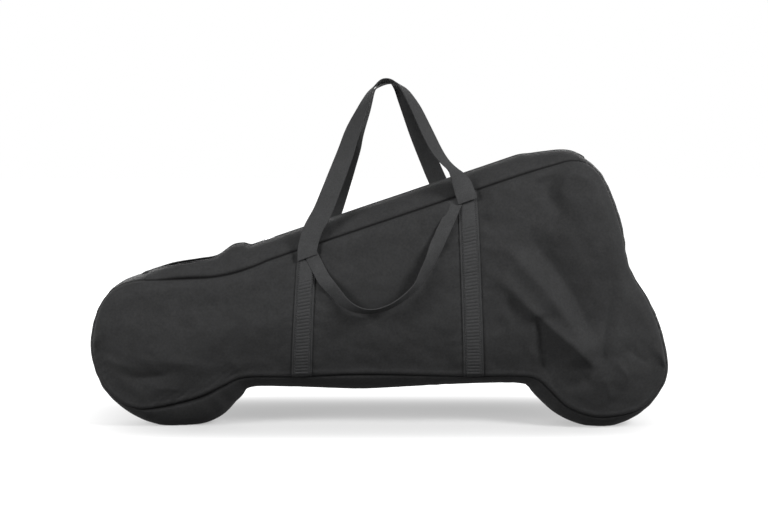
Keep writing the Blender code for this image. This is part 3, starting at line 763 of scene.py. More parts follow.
def mottle(material, finish):
    # colour that varies between a finish's two tones
    ramp = addNode(material, "ShaderNodeValToRGB")
    ends = ramp.color_ramp.elements
    ends[0].position, ends[1].position = look["mottleRange"]
    ends[0].color, ends[1].color = (*finish["dark"], 1.0), (*finish["light"], 1.0)
    link(material, noiseOf(material, finish["mottle"], look["mottleDetail"]), ramp.inputs["Fac"])
    return ramp.outputs["Color"]


def threads(material, pitch, direction):
    # one set of threads, read from the cloth's own UV map, which is in metres
    where = addNode(material, "ShaderNodeTexCoord")
    wave = addNode(material, "ShaderNodeTexWave", {"Scale": math.pi / 10 / pitch},
                   wave_type="BANDS", bands_direction=direction)
    link(material, where.outputs["UV"], wave.inputs["Vector"])
    return wave.outputs["Fac"]


def mixMath(owner, operation, a, b):
    node = addNode(owner, "ShaderNodeMath", operation=operation)
    link(owner, a, node.inputs[0])
    link(owner, b, node.inputs[1])
    return node.outputs[0]


def addBump(material, height, distance, strength, after=None):
    bump = addNode(material, "ShaderNodeBump", {"Distance": distance, "Strength": strength})
    link(material, height, bump.inputs["Height"])
    if after is not None:
        link(material, after, bump.inputs["Normal"])
    return bump.outputs["Normal"]


def weaveMaterial(name, finish):
    # plain weave: over-and-under of two thread sets, with slubs, a soft mottle, slow clouds and painted
    # shade from the mesh's marks
    material = newMaterial(name, finish["dark"], finish["rough"], 0.0, finish["specular"],
                           finish["sheen"])
    shader = shaderOf(material)
    warp = threads(material, finish["pitch"][0], "X")
    weft = threads(material, finish["pitch"][1], "Y")
    weave = mixMath(material, "MULTIPLY", warp, weft)
    shade = remap(material, weave, finish["threadShade"], look["threadLight"])
    tone = multiply(material, mottle(material, finish), shade, look["threadShare"])
    # painted shade: darker in seams, grooves and beside strips, read from the mesh's marks
    shadeMarks = addNode(material, "ShaderNodeAttribute", attribute_name="paintedShade")
    paintedShadeFactor = remap(material, shadeMarks.outputs["Fac"], 1.0, look["paintedShadeTone"], 0.0, look["paintedShadeFull"])
    tone = multiply(material, tone, paintedShadeFactor)
    clouds = noiseOf(material, finish["clouds"], look["cloudDetail"], Roughness=look["cloudRough"],
                     Distortion=look["cloudTwist"])
    drift = remap(material, clouds, 1 - finish["drift"], 1 + finish["drift"], *look["cloudRange"])
    link(material, multiply(material, tone, drift), shader.inputs["Base Color"])
    slubs = noiseOf(material, look["slubScale"], look["slubDetail"])
    spread = look["roughSpread"]
    rough = remap(material, slubs, finish["rough"] - spread, finish["rough"] + spread)
    link(material, rough, shader.inputs["Roughness"])
    grain = addBump(material, slubs, look["slubDepth"], finish["slub"])
    normal = addBump(material, weave, look["weaveDepth"], finish["bump"], grain)
    link(material, normal, shader.inputs["Normal"])
    return material


def spottedMaterial(name, finish):
    material = newMaterial(name, finish["tone"], finish["rough"], finish["metallic"], 0.5,
                           finish["sheen"])
    link(material, mottle(material, finish), shaderOf(material).inputs["Base Color"])
    return material


def scuff(material, finish):
    # fine scratches that change the gloss
    scuffs = noiseOf(material, finish["scuffScale"], finish["scuffDetail"])
    shader = shaderOf(material)
    link(material, remap(material, scuffs, *finish["roughRange"]), shader.inputs["Roughness"])
    bump = addBump(material, scuffs, finish["scuffDepth"], finish["scuffBump"])
    link(material, bump, shader.inputs["Normal"])


clothFinish = {
    "dark": (0.0275, 0.0276, 0.0280),
    "light": (0.0348, 0.0349, 0.0355),
    "rough": 0.72,
    "specular": 0.05,
    "sheen": 0.0,
    "mottle": 230.0,
    "clouds": 22.0,
    "drift": 0.11,
    "pitch": (0.0007, 0.0007),
    "threadShade": 0.75,
    "slub": 0.12,
    "bump": 0.35,
}
webbingFinish = {
    "dark": (0.0450, 0.0452, 0.0459),
    "light": (0.0590, 0.0594, 0.0604),
    "rough": 0.80,
    "specular": 0.03,
    "sheen": 0.0,
    "mottle": 420.0,
    "clouds": 40.0,
    "drift": 0.08,
    "pitch": (0.0016, 0.0021),
    "threadShade": 0.55,
    "slub": 0.10,
    "bump": 0.6,
}
tapeFinish = {
    "dark": (0.014, 0.014, 0.015),
    "light": (0.019, 0.019, 0.020),
    "rough": 0.75,
    "specular": 0.30,
    "sheen": 0.05,
    "mottle": 30.0,
    "clouds": 40.0,
    "drift": 0.08,
    "pitch": (0.0010, 0.0007),
    "threadShade": 0.6,
    "slub": 0.10,
    "bump": 0.4,
}
coilFinish = {
    "tone": (0.016, 0.016, 0.018),
    "dark": (0.013, 0.013, 0.014),
    "light": (0.022, 0.022, 0.024),
    "mottle": 400.0,
    "rough": 0.34,
    "metallic": 0.0,
    "sheen": 0.0,
}
threadFinish = {
    "tone": (0.05, 0.05, 0.052),
    "dark": (0.036, 0.036, 0.038),
    "light": (0.060, 0.060, 0.062),
    "mottle": 900.0,
    "rough": 0.45,
    "metallic": 0.0,
    "sheen": 0.1,
}
metalFinish = {
    "tone": (0.60, 0.60, 0.61),
    "dark": (0.50, 0.50, 0.51),
    "light": (0.66, 0.66, 0.67),
    "mottle": 300.0,
    "rough": 0.24,
    "roughRange": (0.16, 0.40),
    "metallic": 1.0,
    "sheen": 0.0,
    "scuffScale": 700.0,
    "scuffDetail": 5.0,
    "scuffDepth": 0.0001,
    "scuffBump": 0.15,
}
clothMaterial = weaveMaterial("coated_cloth", clothFinish)
webbingMaterial = weaveMaterial("ribbed_webbing", webbingFinish)
tapeMaterial = weaveMaterial("zip_tape_weave", tapeFinish)
coilMaterial = spottedMaterial("nylon_coil", coilFinish)
threadMaterial = spottedMaterial("sewing_thread", threadFinish)
metalMaterial = spottedMaterial("plated_metal", metalFinish)
scuff(metalMaterial, metalFinish)
print("materials made")

# Panels
panel = {
    "columns": 330,
    "rows": 124,
    "inset": 0.0004,
    "crowdAlong": 0.5,
    "crowdUp": 0.75,
    "scan": 5000,
}


def crowd(share, amount):
    # shares drawn together at both ends
    return share - amount * np.sin(2 * math.pi * share) / (2 * math.pi)


def columnTable():
    # x on the top seam of rungs that are even along both seams
    half = bag["length"] / 2 - panel["inset"]
    xs = -half * np.cos(math.pi * np.linspace(0, 1, panel["scan"]))
    below = xs + strapSplay(xs)
    steps = np.zeros(len(xs) - 1)
    for line, (railX, railZ) in zip((xs, below), rails):
        height = np.interp(line, railX, railZ)
        steps = np.maximum(steps, np.hypot(np.diff(line), np.diff(height)))
    return xs, np.concatenate([[0], np.cumsum(steps)]) / steps.sum()


columnXs, columnShares = columnTable()


def rungPoint(above, share):
    # point up the rung that starts from x above on the top seam, share 0 at the base seam
    below = above + strapSplay(above)
    topZ = np.interp(above, *rails[0])
    footZ = np.interp(below, *rails[1])
    return below + (above - below) * share, footZ + (topZ - footZ) * share


def panelShape(word):
    side = sides[word]

    def shape(u, v):
        above = np.interp(crowd(u, panel["crowdAlong"]), columnShares, columnXs)
        x, z = rungPoint(above, crowd(v, panel["crowdUp"]))
        reach = seamDistance(x, z)
        depth = panelDepth(x, z) + panelRelief(x, z, word) - seamRoll(reach)
        # painted shade in the seam's groove and in the gap beside each strip
        paintedShade = seamPaintedShade(reach)
        for middle in strap["strips"][word]:
            beside = abs(abs(x - stripLine(middle, z)) - strap["width"] / 2)
            sunk = 1 - smoothStep(beside, 0, cloth["stripShadeReach"])
            paintedShade = np.maximum(paintedShade, cloth["stripPaintedShade"] * sunk)
        return np.stack([x, side * depth, z], axis=1), np.stack([x, z], axis=1), paintedShade
    return shape


for word, side in sides.items():
    item = sheetPiece(word + "_panel_cloth", panel["columns"], panel["rows"], panelShape(word),
                      bag["panelWall"] * bag["clothShare"], turned=side > 0)
    finishPiece(item, clothMaterial, "bag", "bag_cloth", word + "_panel")
print("panels made")

# Gussets
gusset = {
    "topColumns": 460,
    "topRows": 34,
    "topInset": 0.0003,
    "topCrowd": 0.7,
    "baseColumns": 520,
    "baseRows": 60,
    "baseInset": 0.0005,
    "baseCrowd": 0.6,
    "rollDepth": 0.0064,
    "rollReach": 0.0062,
    "hemLift": 0.0009,
    "hemFall": (0.0045, 0.0065),  # the hem ends between these distances from the zip's edge
    "hemRound": 0.0012,
    "pucker": 0.0017,
    "puckerPitch": 0.031,
    "puckerPatch": 0.06,
    "puckerShare": 1.6,
    "swellPatch": 0.07,
    "swellShare": 0.8,
}


def insetShare(u, inset):
    # shares that leave the same piece out at both ends of a run
    return inset + u * (1 - 2 * inset)


def gussetPucker(x, z, along, share, seed):
    # nothing in the gusset's middle, more towards the seam, and gone again at the seam itself
    wave = np.sin(2 * math.pi * along / gusset["puckerPitch"])
    rough = rumple(along, along * 0 + seed, gusset["puckerPatch"], seed)
    soft = rumple(x, z, gusset["swellPatch"], seed + 4)
    height = gusset["puckerShare"] * wave * rough * share ** 2 + gusset["swellShare"] * soft * share
    return gusset["pucker"] * height * (1 - share ** 6)


def gussetRoll(toSeam):
    turn = np.clip(1 - toSeam / gusset["rollReach"], 0, 1) ** cloth["rollPower"]
    return gusset["rollDepth"] * turn


def topGussetShape(side):
    def shape(u, v):
        station = readRun(topRun, insetShare(u, gusset["topInset"]))
        x, z, along = station[0], station[1], station[5]
        edge = mouthHalf(x)
        room = bag["seamHalf"] - edge
        fromEdge = (room - zipper["gussetEdge"]) * crowd(v, gusset["topCrowd"])
        reach = zipper["gussetEdge"] + fromEdge
        lift = gussetPucker(x, z, along, reach / room, seeds["gussetTop"] + side)
        lift += gusset["hemLift"] * (1 - smoothStep(fromEdge, *gusset["hemFall"]))
        lift -= gusset["hemLift"] * np.clip(1 - fromEdge / gusset["hemRound"], 0, 1) ** 2
        lift -= gussetRoll(room - reach)
        points = gussetPoints(station, reach, lift, side)
        # the third value is painted shade towards the seam
        return points, np.stack([along, reach + edge], axis=1), seamPaintedShade(room - reach)
    return shape


def baseGussetShape(u, v):
    station = readRun(baseRun, insetShare(u, gusset["baseInset"]))
    x, z, along = station[0], station[1], station[5]
    across = 2 * crowd(v, gusset["baseCrowd"]) - 1
    share = abs(across)
    reach = bag["seamHalf"] * share
    toSeam = bag["seamHalf"] - reach
    lift = gussetPucker(x, z, along, share, seeds["gussetBase"]) - gussetRoll(toSeam)
    points = gussetPoints(station, reach, lift, np.sign(across), 0.0)
    # the third value is painted shade towards both seams
    return points, np.stack([along, bag["seamHalf"] * across], axis=1), seamPaintedShade(toSeam)


for word, side in sides.items():
    item = sheetPiece("top_gusset_cloth_" + word, gusset["topColumns"], gusset["topRows"],
                      topGussetShape(side), bag["gussetWall"] * bag["clothShare"], turned=side > 0)
    finishPiece(item, clothMaterial, "bag", "bag_cloth", "top_gusset_" + word)
item = sheetPiece("base_gusset_cloth", gusset["baseColumns"], gusset["baseRows"], baseGussetShape,
                  bag["gussetWall"] * bag["clothShare"])
finishPiece(item, clothMaterial, "bag", "bag_cloth", "base_gusset")
print("gussets made")

# Binding inside both seams
binding = {
    "depth": 0.010,
    "wall": 0.0026,
    "columns": 420,
    "rows": 8,
    "inside": 0.0006,
    "wave": 0.0006,
    "wavePitch": 0.037,
    "weld": 0.00002,
}


def bindingShape(side):
    def shape(u, v):
        x, z, nx, nz, _, along = readRun(ringRun, u)
        inset = bag["gussetWall"] + bag["seamGap"] + binding["depth"] * v
        wave = binding["wave"] * np.sin(2 * math.pi * along / binding["wavePitch"])
        y = side * (bag["seamHalf"] - bag["seamGap"] - binding["inside"] - wave * v)
        points = np.stack([x - nx * inset, y, z - nz * inset], axis=1)
        return points, np.stack([along, inset], axis=1)
    return shape


for word, side in sides.items():
    item = sheetPiece("binding_tape_" + word, binding["columns"], binding["rows"],
                      bindingShape(side), binding["wall"], turned=side < 0)
    pick(item)
    bpy.ops.object.mode_set(mode="EDIT")
    bpy.ops.mesh.select_all(action="SELECT")
    bpy.ops.mesh.remove_doubles(threshold=binding["weld"])
    bpy.ops.object.mode_set(mode="OBJECT")
    finishPiece(item, tapeMaterial, "bag", "tape", "seam_binding_" + word)

# Zip tapes
tape = {"columns": 460, "rows": 10}
tapeLift = -(bag["gussetWall"] + bag["seamGap"])
topLength = topRun["length"][-1]
trackInset = zipper["tabLength"] / 8  # tapes and coils end under the tabs


def tapeShape(side):
    def shape(u, v):
        station = readRun(topRun, insetShare(u, trackInset / topLength))
        reach = gap + (zipper["tapeReach"] - 2 * gap) * v
        points = gussetPoints(station, reach, tapeLift, side)
        return points, np.stack([station[5], reach], axis=1)
    return shape


for word, side in sides.items():
    item = sheetPiece("tape_cloth_" + word, tape["columns"], tape["rows"], tapeShape(side),
                      zipper["tapeWall"], turned=side > 0)
    finishPiece(item, tapeMaterial, "bag", "tape", "zip_tape_" + word)

# Coils
coil = {
    "corners": 6,
    "barShare": 0.8,
    "endDrop": 0.00035,
    "endShrink": 0.7,
    "shrinkDepth": 0.0004,
    "ahead": 0.0004,
}


def makeTooth():
    # one turn of the coil as it shows from outside: a round bar, its two ends turned down
    length = zipper["coilWidth"] + zipper["toothOverlap"]
    item = roundBar(zipper["toothWidth"] / 2, length * coil["barShare"], (math.pi / 2, 0, 0),
                    coil["corners"])
    bpy.ops.object.mode_set(mode="EDIT")
    bpy.ops.mesh.select_all(action="DESELECT")
    bpy.ops.object.mode_set(mode="OBJECT")
    push = length * (1 - coil["barShare"]) / 2
    shrink = coil["endShrink"]
    for way in (-1, 1):
        markEnd(item, 1, way)
        bpy.ops.object.mode_set(mode="EDIT")
        bpy.ops.mesh.select_mode(type="FACE")
        bpy.ops.mesh.extrude_region_move(
            TRANSFORM_OT_translate={"value": (0, way * push, -coil["endDrop"])})
        bpy.ops.transform.resize(value=(shrink, 1.0, shrink),
                                 center_override=(0, way * length / 2, -coil["shrinkDepth"]))
        bpy.ops.mesh.select_all(action="DESELECT")
        bpy.ops.object.mode_set(mode="OBJECT")
    return item


def coilPlaces(side):
    count = int((topLength - 2 * trackInset) / zipper["toothPitch"])
    stagger = 0.5 if side > 0 else 0.0
    along = trackInset + (np.arange(count) + stagger) * zipper["toothPitch"]
    reach = gap + zipper["coilWidth"] / 2 - zipper["toothOverlap"] / 2
    lift = tapeLift + gap + zipper["coilHeight"] - zipper["toothWidth"] / 2
    station = readRun(topRun, along / topLength)
    later = readRun(topRun, (along + coil["ahead"]) / topLength)
    here = gussetPoints(station, reach, lift, side)
    xs = unit(gussetPoints(later, reach, lift, side) - here)
    ys = unit(gussetPoints(station, reach + coil["ahead"], lift, side) - here)
    ys = squareTo(xs, ys)
    return here, xs, ys, np.cross(xs, ys) * side


tooth = makeTooth()
for word, side in sides.items():
    origins, xs, ys, zs = coilPlaces(side)
    item = repeatShape("coil_turns_" + word, tooth, origins, xs * side, ys, zs)
    finishPiece(item, coilMaterial, "bag", "coil", "zip_coil_" + word)
bpy.data.objects.remove(tooth, do_unlink=True)

# Tabs over the zip's ends
endTab = {
    "columns": 44,
    "rows": 48,
    "wall": 0.0012,
    "rise": 0.0018,
    "riseReach": 0.0022,
    "seamAt": 0.0040,
    "seamDeep": 0.0006,
    "seamWide": 0.0007,
}


def endTabShape(middle):
    start = np.interp(middle, ringRun["rows"][firstTop:lastTop + 1, 0], topRun["length"])
    ringStart = ringRun["length"][firstTop] + start
    half = zipper["tabHalf"]

    def shape(u, v):
        along = ringStart + (u - 0.5) * zipper["tabLength"]
        station = readRun(ringRun, (along / ringRun["length"][-1]) % 1.0)
        across = 2 * v - 1
        edge = np.minimum(np.minimum(u, 1 - u) * zipper["tabLength"], (1 - abs(across)) * half)
        lift = bag["seamGap"] + endTab["rise"] * smoothStep(edge, 0, endTab["riseReach"])
        sewn = np.exp(-((edge - endTab["seamAt"]) / endTab["seamWide"]) ** 2)
        lift = lift - endTab["seamDeep"] * sewn
        points = gussetPoints(station, half * abs(across), lift, np.where(across < 0, -1, 1), 0.0)
        return points, np.stack([along, half * across], axis=1)
    return shape


for word, middle in (("low", zipper["lowX"]), ("tall", zipper["tallX"])):
    item = sheetPiece("end_tab_cloth_" + word, endTab["columns"], endTab["rows"],
                      endTabShape(middle), endTab["wall"])
    finishPiece(item, clothMaterial, "bag", "bag_cloth", "zip_end_tab_" + word)
print("zip and binding made")

# Webbing strips sewn up each panel
strip = {
    "across": 36,
    "along": 340,
    "bandHalf": 0.0115,
    "bandEdge": 0.001,
    "ribPitch": 0.0066,
    "ribHeight": 0.0011,
    "ribPower": 0.6,
    "ribMiddle": 0.6,
    "grooveAt": 0.0137,
    "grooveWide": 0.0009,
    "grooveDeep": 0.0009,
    "plainTop": 0.062,
    "plainEdge": 0.003,
    "rimPower": 24,
    "rimDrop": 0.0008,
    "groovePaintedShade": 0.55,
    "rimPaintedShade": 0.5,
    "ribPaintedShade": 0.32,
}


def stripShape(word, middle):
    side = sides[word]
    length = math.dist(rungPoint(middle, 0.0), rungPoint(middle, 1.0))
    edge = strap["width"] / 2

    def shape(u, v):
        across = (2 * v - 1) * edge
        x, z = rungPoint(middle + across, u)
        down = (1 - u) * length
        inBand = 1 - smoothStep(abs(across), strip["bandHalf"] - strip["bandEdge"], strip["bandHalf"])
        plainTop = strip["plainTop"]
        inBand = inBand * smoothStep(down, plainTop, plainTop + strip["plainEdge"])
        rib = abs(np.sin(math.pi * down / strip["ribPitch"])) ** strip["ribPower"]
        rib = rib - strip["ribMiddle"]
        groove = np.exp(-((abs(across) - strip["grooveAt"]) / strip["grooveWide"]) ** 2)
        rim = np.clip(abs(across) / edge, 0, 1) ** strip["rimPower"]
        depth = panelDepth(x, z) + panelRelief(x, z, word) - seamRoll(seamDistance(x, z))
        depth += gap + strap["wall"] + strip["ribHeight"] * rib * inBand
        depth -= strip["grooveDeep"] * groove + strip["rimDrop"] * rim
        # painted shade in the stitch grooves, at the rim and between the ribs
        between = inBand * np.clip(-rib / strip["ribMiddle"], 0, 1)
        paintedShade = strip["groovePaintedShade"] * groove + strip["rimPaintedShade"] * rim + strip["ribPaintedShade"] * between
        return np.stack([x, side * depth, z], axis=1), np.stack([down, across], axis=1), paintedShade
    return shape


for word, side in sides.items():
    for place, middle in zip(("low", "tall"), strap["strips"][word]):
        item = sheetPiece("strip_webbing_" + word + "_" + place, strip["along"], strip["across"],
                          stripShape(word, middle), strap["wall"], turned=side < 0)
        finishPiece(item, webbingMaterial, "bag", "webbing", "webbing_" + word + "_" + place)
print("strips made")

# Handles, as points along the hinge line as a share of half the span, up from it as a share of
# the height, and the turn out of the plane
longLoops = {
    "front": [
        (-1.00, 0.00, 0), (-0.945, 0.075, 0), (-0.825, 0.172, 2), (-0.655, 0.265, 5),
        (-0.475, 0.388, 10), (-0.31, 0.504, 16), (-0.15, 0.62, 24), (0.00, 0.738, 34),
        (0.178, 0.854, 50), (0.265, 0.912, 60), (0.36, 0.965, 70), (0.435, 0.988, 80),
        (0.53, 1.00, 88), (0.62, 0.982, 88), (0.69, 0.945, 80), (0.742, 0.89, 70),
        (0.777, 0.80, 61), (0.80, 0.72, 57), (0.825, 0.565, 53), (0.857, 0.41, 54),
        (0.902, 0.316, 60), (0.963, 0.238, 60), (1.00, 0.155, 28), (1.005, 0.07, 4),
        (1.00, 0.00, 0),
    ],
    "rear": [
        (-1.00, 0.00, 0), (-0.94, 0.06, 0), (-0.82, 0.12, 2), (-0.64, 0.204, 8),
        (-0.50, 0.29, 18), (-0.40, 0.352, 28), (-0.20, 0.474, 45), (-0.013, 0.597, 54),
        (0.075, 0.660, 62), (0.168, 0.722, 68), (0.262, 0.786, 70), (0.338, 0.846, 68),
        (0.405, 0.902, 68), (0.500, 0.960, 76), (0.610, 0.985, 86), (0.72, 0.987, 88),
        (0.793, 0.965, 80), (0.850, 0.905, 62), (0.876, 0.835, 46), (0.889, 0.75, 36),
        (0.894, 0.62, 29), (0.900, 0.508, 25), (0.917, 0.345, 20), (0.940, 0.175, 12),
        (0.965, 0.08, 6), (1.00, 0.00, 0),
    ],
}
shortLoop = [
    (-1.00, 0.00, 0), (-0.96, 0.14, 12), (-0.91, 0.286, 28), (-0.80, 0.616, 48),
    (-0.64, 0.837, 68), (-0.455, 0.963, 77), (-0.225, 1.00, 80), (0.042, 0.951, 78),
    (0.296, 0.829, 74), (0.42, 0.735, 70), (0.506, 0.625, 63), (0.60, 0.52, 54),
    (0.70, 0.412, 44), (0.84, 0.22, 26), (0.93, 0.09, 8), (1.00, 0.00, 0),
]
handle = {
    "hem": 0.0016,
    "hemRows": 4,
    "hemLift": 0.0024,
    "hemRise": (0.006, 0.030),
    "tabRows": 34,
    "tabDrops": (0.0130, 0.0040),
    "tabInsets": (0.0060, -0.0180),
    "tabRise": 0.034,
    "spacing": 0.0018,
    "softening": 14,
    "rows": 20,
    "cup": 0.0006,
    "cupMiddle": 0.4,
}


def layer(count):
    return count * (gap + strap["wall"])


def hingeEnds(word, insets, drops, width, proud):
    # the two ends of a hinge line, as far out as the panel under them needs
    ends = []
    depths = []
    for middle, inset, drop in zip(strap["strips"][word], insets, drops):
        x = middle + inset
        end = np.array([x, 0, rampHeight(x) - drop])
        ends.append(end)
        for k in (-1, 0, 1):
            spot = end + slope * (k * width / 2) - upSlope * strap["hingeLap"]
            depths.append(float(panelDepth(spot[0:1], spot[2:3])[0]))
    for end in ends:
        end[1] = sides[word] * (max(depths) + proud)
    return ends


def hingeAxes(ends, side):
    # a hinge line's middle, its direction, and up the panel from it
    along = unit(ends[1] - ends[0])
    return (ends[0] + ends[1]) / 2, along, np.cross(along, np.array([0, side, 0.0])) * side


def loopRows(ends, loop, height, width, side, down):
    # middles and half-width vectors along a strap that makes a loop between two hinge ends
    middle, along, rise = hingeAxes(ends, side)
    half = np.linalg.norm(ends[1] - ends[0]) / 2
    front = np.array([0, side, 0.0])
    lean = strap["lean"]
    away = rise * math.cos(lean) - front * math.sin(lean)
    if down:
        away = -away
    face = front * math.cos(lean) + rise * math.sin(lean)
    points = splineRun(loop, strap["steps"])
    places = (middle + np.outer(points[:, 0] * half, along)
              + np.outer(points[:, 1] * height, away))
    run = unit(np.gradient(places, axis=0))
    outside = np.cross(face, run)
    heart = middle + away * height * strap["heart"]
    inward = np.sum(outside * (places - heart), axis=1) < 0
    outside[inward] *= -1
    turn = np.radians(points[:, 2])[:, None]
    skin = face * np.cos(turn) + outside * np.sin(turn)
    square = unit(np.cross(run, skin))
    level = np.where((square @ along > 0)[:, None], along, -along)
    clear = np.clip(points[:, 1] * height / (width * strap["endBlend"]), 0, 1)[:, None]
    return places, evenWidth(places, level * (1 - clear) + square * clear, width)


def evenWidth(places, across, width):
    # half-width vectors made so long that the strap is as wide as it should be, square to its run
    run = unit(np.gradient(places, axis=0))
    return across * (width / 2 / np.linalg.norm(np.cross(run, across), axis=1))[:, None]


def straightRows(start, stop, count):
    share = np.linspace(0, 1, count)[:, None]
    return start * (1 - share) + stop * share


def addTails(places, across, tails, levels):
    # a strap with more rows before its first row and after its last
    widths = [np.repeat(level[None, :], len(tail), axis=0) for tail, level in zip(tails, levels)]
    return (np.concatenate([tails[0], places, tails[1][::-1]]),
            np.concatenate([widths[0], across, widths[1]]))


def softenRun(places, across, width, passes):
    # the same strap with its rows spread evenly and its bends eased
    length = lengthAlong(places)
    spots = np.linspace(0, length[-1], int(length[-1] / handle["spacing"]) + 1)
    rows = readLine(np.concatenate([places, across], axis=1), length, spots)
    for _ in range(passes):
        rows[1:-1] = 0.25 * rows[:-2] + 0.5 * rows[1:-1] + 0.25 * rows[2:]
    return rows[:, :3], evenWidth(rows[:, :3], rows[:, 3:], width)


def strapPiece(name, places, across):
    # webbing along a run of rows, with its edges turned out a little
    count = len(places)
    run = unit(np.gradient(places, axis=0))
    skin = unit(np.cross(run, across))
    length = lengthAlong(places)
    half = np.linalg.norm(across, axis=1)

    def shape(u, v):
        i = np.round(u * (count - 1)).astype(int)
        w = 2 * v - 1
        cup = handle["cup"] * (w * w - handle["cupMiddle"])
        points = places[i] + across[i] * w[:, None] + skin[i] * cup[:, None]
        return points, np.stack([length[i], w * half[i]], axis=1)
    return sheetPiece(name, count - 1, handle["rows"], shape, strap["wall"], 0.0,
                      rounded=strap["edgeRound"])


def longHandle(word, side):
    proud = layer(1) + gap + strap["wall"] / 2
    ends = hingeEnds(word, (0, 0), strap["longDrops"], strap["width"], proud)
    places, across = loopRows(ends, longLoops[word], strap["longHeight"], strap["width"], side, False)
    hem = upSlope * handle["hem"]
    tails = [straightRows(end - hem, end, handle["hemRows"])[:-1] for end in ends]
    places, across = addTails(places, across, tails, (across[0], across[-1]))
    places, across = softenRun(places, across, strap["width"], handle["softening"])
    for end in ends:
        away = np.linalg.norm(places - end, axis=1)
        places[:, 1] += side * handle["hemLift"] * (1 - smoothStep(away, *handle["hemRise"]))
    item = strapPiece("long_handle_webbing_" + word, places, across)
    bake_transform(item)
    return finishPiece(item, webbingMaterial, None, "webbing", "long_handle_" + word)


def tabTail(word, x, drop, end):
    # rows down the panel from under its top seam, rising clear of it towards the hinge
    start = np.array([x, 0, rampHeight(x) - drop])
    rows = straightRows(start, end, handle["tabRows"])[:-1]
    depth = panelDepth(rows[:, 0], rows[:, 2]) + panelRelief(rows[:, 0], rows[:, 2], word)
    rows[:, 1] = sides[word] * (depth + layer(1) + gap + strap["wall"] / 2)
    fromHinge = (1 - np.linspace(0, 1, handle["tabRows"])[:-1]) * np.linalg.norm(end - start)
    rows[:, 1] += (end[1] - rows[-1, 1]) * (1 - smoothStep(fromHinge, 0, handle["tabRise"]))
    return rows


def shortHandle(word, side):
    width = strap["shortWidth"]
    proud = layer(1) + bag["seamGap"] + strap["wall"] + gap + strap["wall"] / 2
    ends = hingeEnds(word, strap["shortInsets"], strap["shortDrops"], width, proud)
    places, across = loopRows(ends, shortLoop, strap["shortDepth"], width, side, True)
    tails = [tabTail(word, middle + inset, drop, end) for middle, inset, drop, end
             in zip(strap["strips"][word], handle["tabInsets"], handle["tabDrops"], ends)]
    levels = [unit(across[k]) * width / 2 for k in (0, -1)]
    places, across = addTails(places, across, tails, levels)
    places, across = softenRun(places, across, width, 2 * handle["softening"])
    item = strapPiece("short_handle_webbing_" + word, places, across)
    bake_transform(item)
    nodes = ["short_handle_" + word] + ["short_handle_tab_" + word + end for end in ("_low", "_tall")]
    return finishPiece(item, webbingMaterial, None, "webbing", *nodes)


for word, side in sides.items():
    longHandle(word, side)
    shortHandle(word, side)
print("handles made")

# Stitching
stitch = {
    "pitch": 0.0036,
    "length": 0.0027,
    "radius": 0.00032,
    "corners": 6,
    "barShare": 0.6,
    "dive": 1.6,
    "ahead": 0.0006,
    "proud": 0.0002,
    "stripShares": (0.015, 0.985, 160),
    "zipShares": (0.03, 0.97, 700),
    "zipInset": 0.0035,
    "up": 0.001,
}


def makeStitch():
    # one stitch: a short thread whose two ends dive into the cloth
    item = roundBar(stitch["radius"], stitch["length"] * stitch["barShare"], (0, math.pi / 2, 0),
                    stitch["corners"])
    push = stitch["length"] * (1 - stitch["barShare"]) / 2
    for way in (-1, 1):
        bpy.ops.object.mode_set(mode="EDIT")
        bpy.ops.mesh.select_mode(type="FACE")
        bpy.ops.mesh.select_all(action="DESELECT")
        bpy.ops.object.mode_set(mode="OBJECT")
        markEnd(item, 0, way)
        bpy.ops.object.mode_set(mode="EDIT")
        bpy.ops.mesh.extrude_region_move(TRANSFORM_OT_translate={
            "value": (way * push, 0, -stitch["radius"] * stitch["dive"])})
        bpy.ops.object.mode_set(mode="OBJECT")
    return item


def sewAlong(points, normals):
    # places and directions of stitches along a line
    length = lengthAlong(points)
    count = max(int(length[-1] / stitch["pitch"]), 1)
    spots = (np.arange(count) + 0.5) * length[-1] / count
    ahead = readLine(points, length, spots + stitch["ahead"])
    xs = unit(ahead - readLine(points, length, spots - stitch["ahead"]))
    zs = squareTo(xs, readLine(normals, length, spots))
    return readLine(points, length, spots), xs, np.cross(zs, xs), zs


def sew(name, lines, slotName):
    sets = [sewAlong(points, normals) for points, normals in lines]
    joined = [np.concatenate(parts) for parts in zip(*sets)]
    return finishPiece(repeatShape(name, stitchShape, *joined), threadMaterial, "bag", slotName)


def stripSeam(word, place):
    # a line of stitches up a strip, in its groove
    share = np.linspace(*stitch["stripShares"])
    x, z = rungPoint(np.full(len(share), place), share)
    depth = panelDepth(x, z) + panelRelief(x, z, word) + gap + strap["wall"]
    depth -= strip["grooveDeep"] - stitch["proud"]
    points = np.stack([x, sides[word] * depth, z], axis=1)
    return points, np.repeat([[0.0, sides[word], 0.0]], len(share), axis=0)


def zipSeam(side):
    # a line of stitches along the hem beside the zip
    station = readRun(topRun, np.linspace(*stitch["zipShares"]))
    reach = zipper["gussetEdge"] + stitch["zipInset"]
    points = gussetPoints(station, reach, gusset["hemLift"], side)
    return points, gussetPoints(station, reach, gusset["hemLift"] + stitch["up"], side) - points


stitchShape = makeStitch()
for word, side in sides.items():
    lines = [stripSeam(word, middle + way * strip["grooveAt"])
             for middle in strap["strips"][word] for way in (-1, 1)]
    sew("strip_stitches_" + word, lines, "webbing")
    sew("zip_stitches_" + word, [zipSeam(side)], "bag_cloth")
bpy.data.objects.remove(stitchShape, do_unlink=True)
print("stitches made")

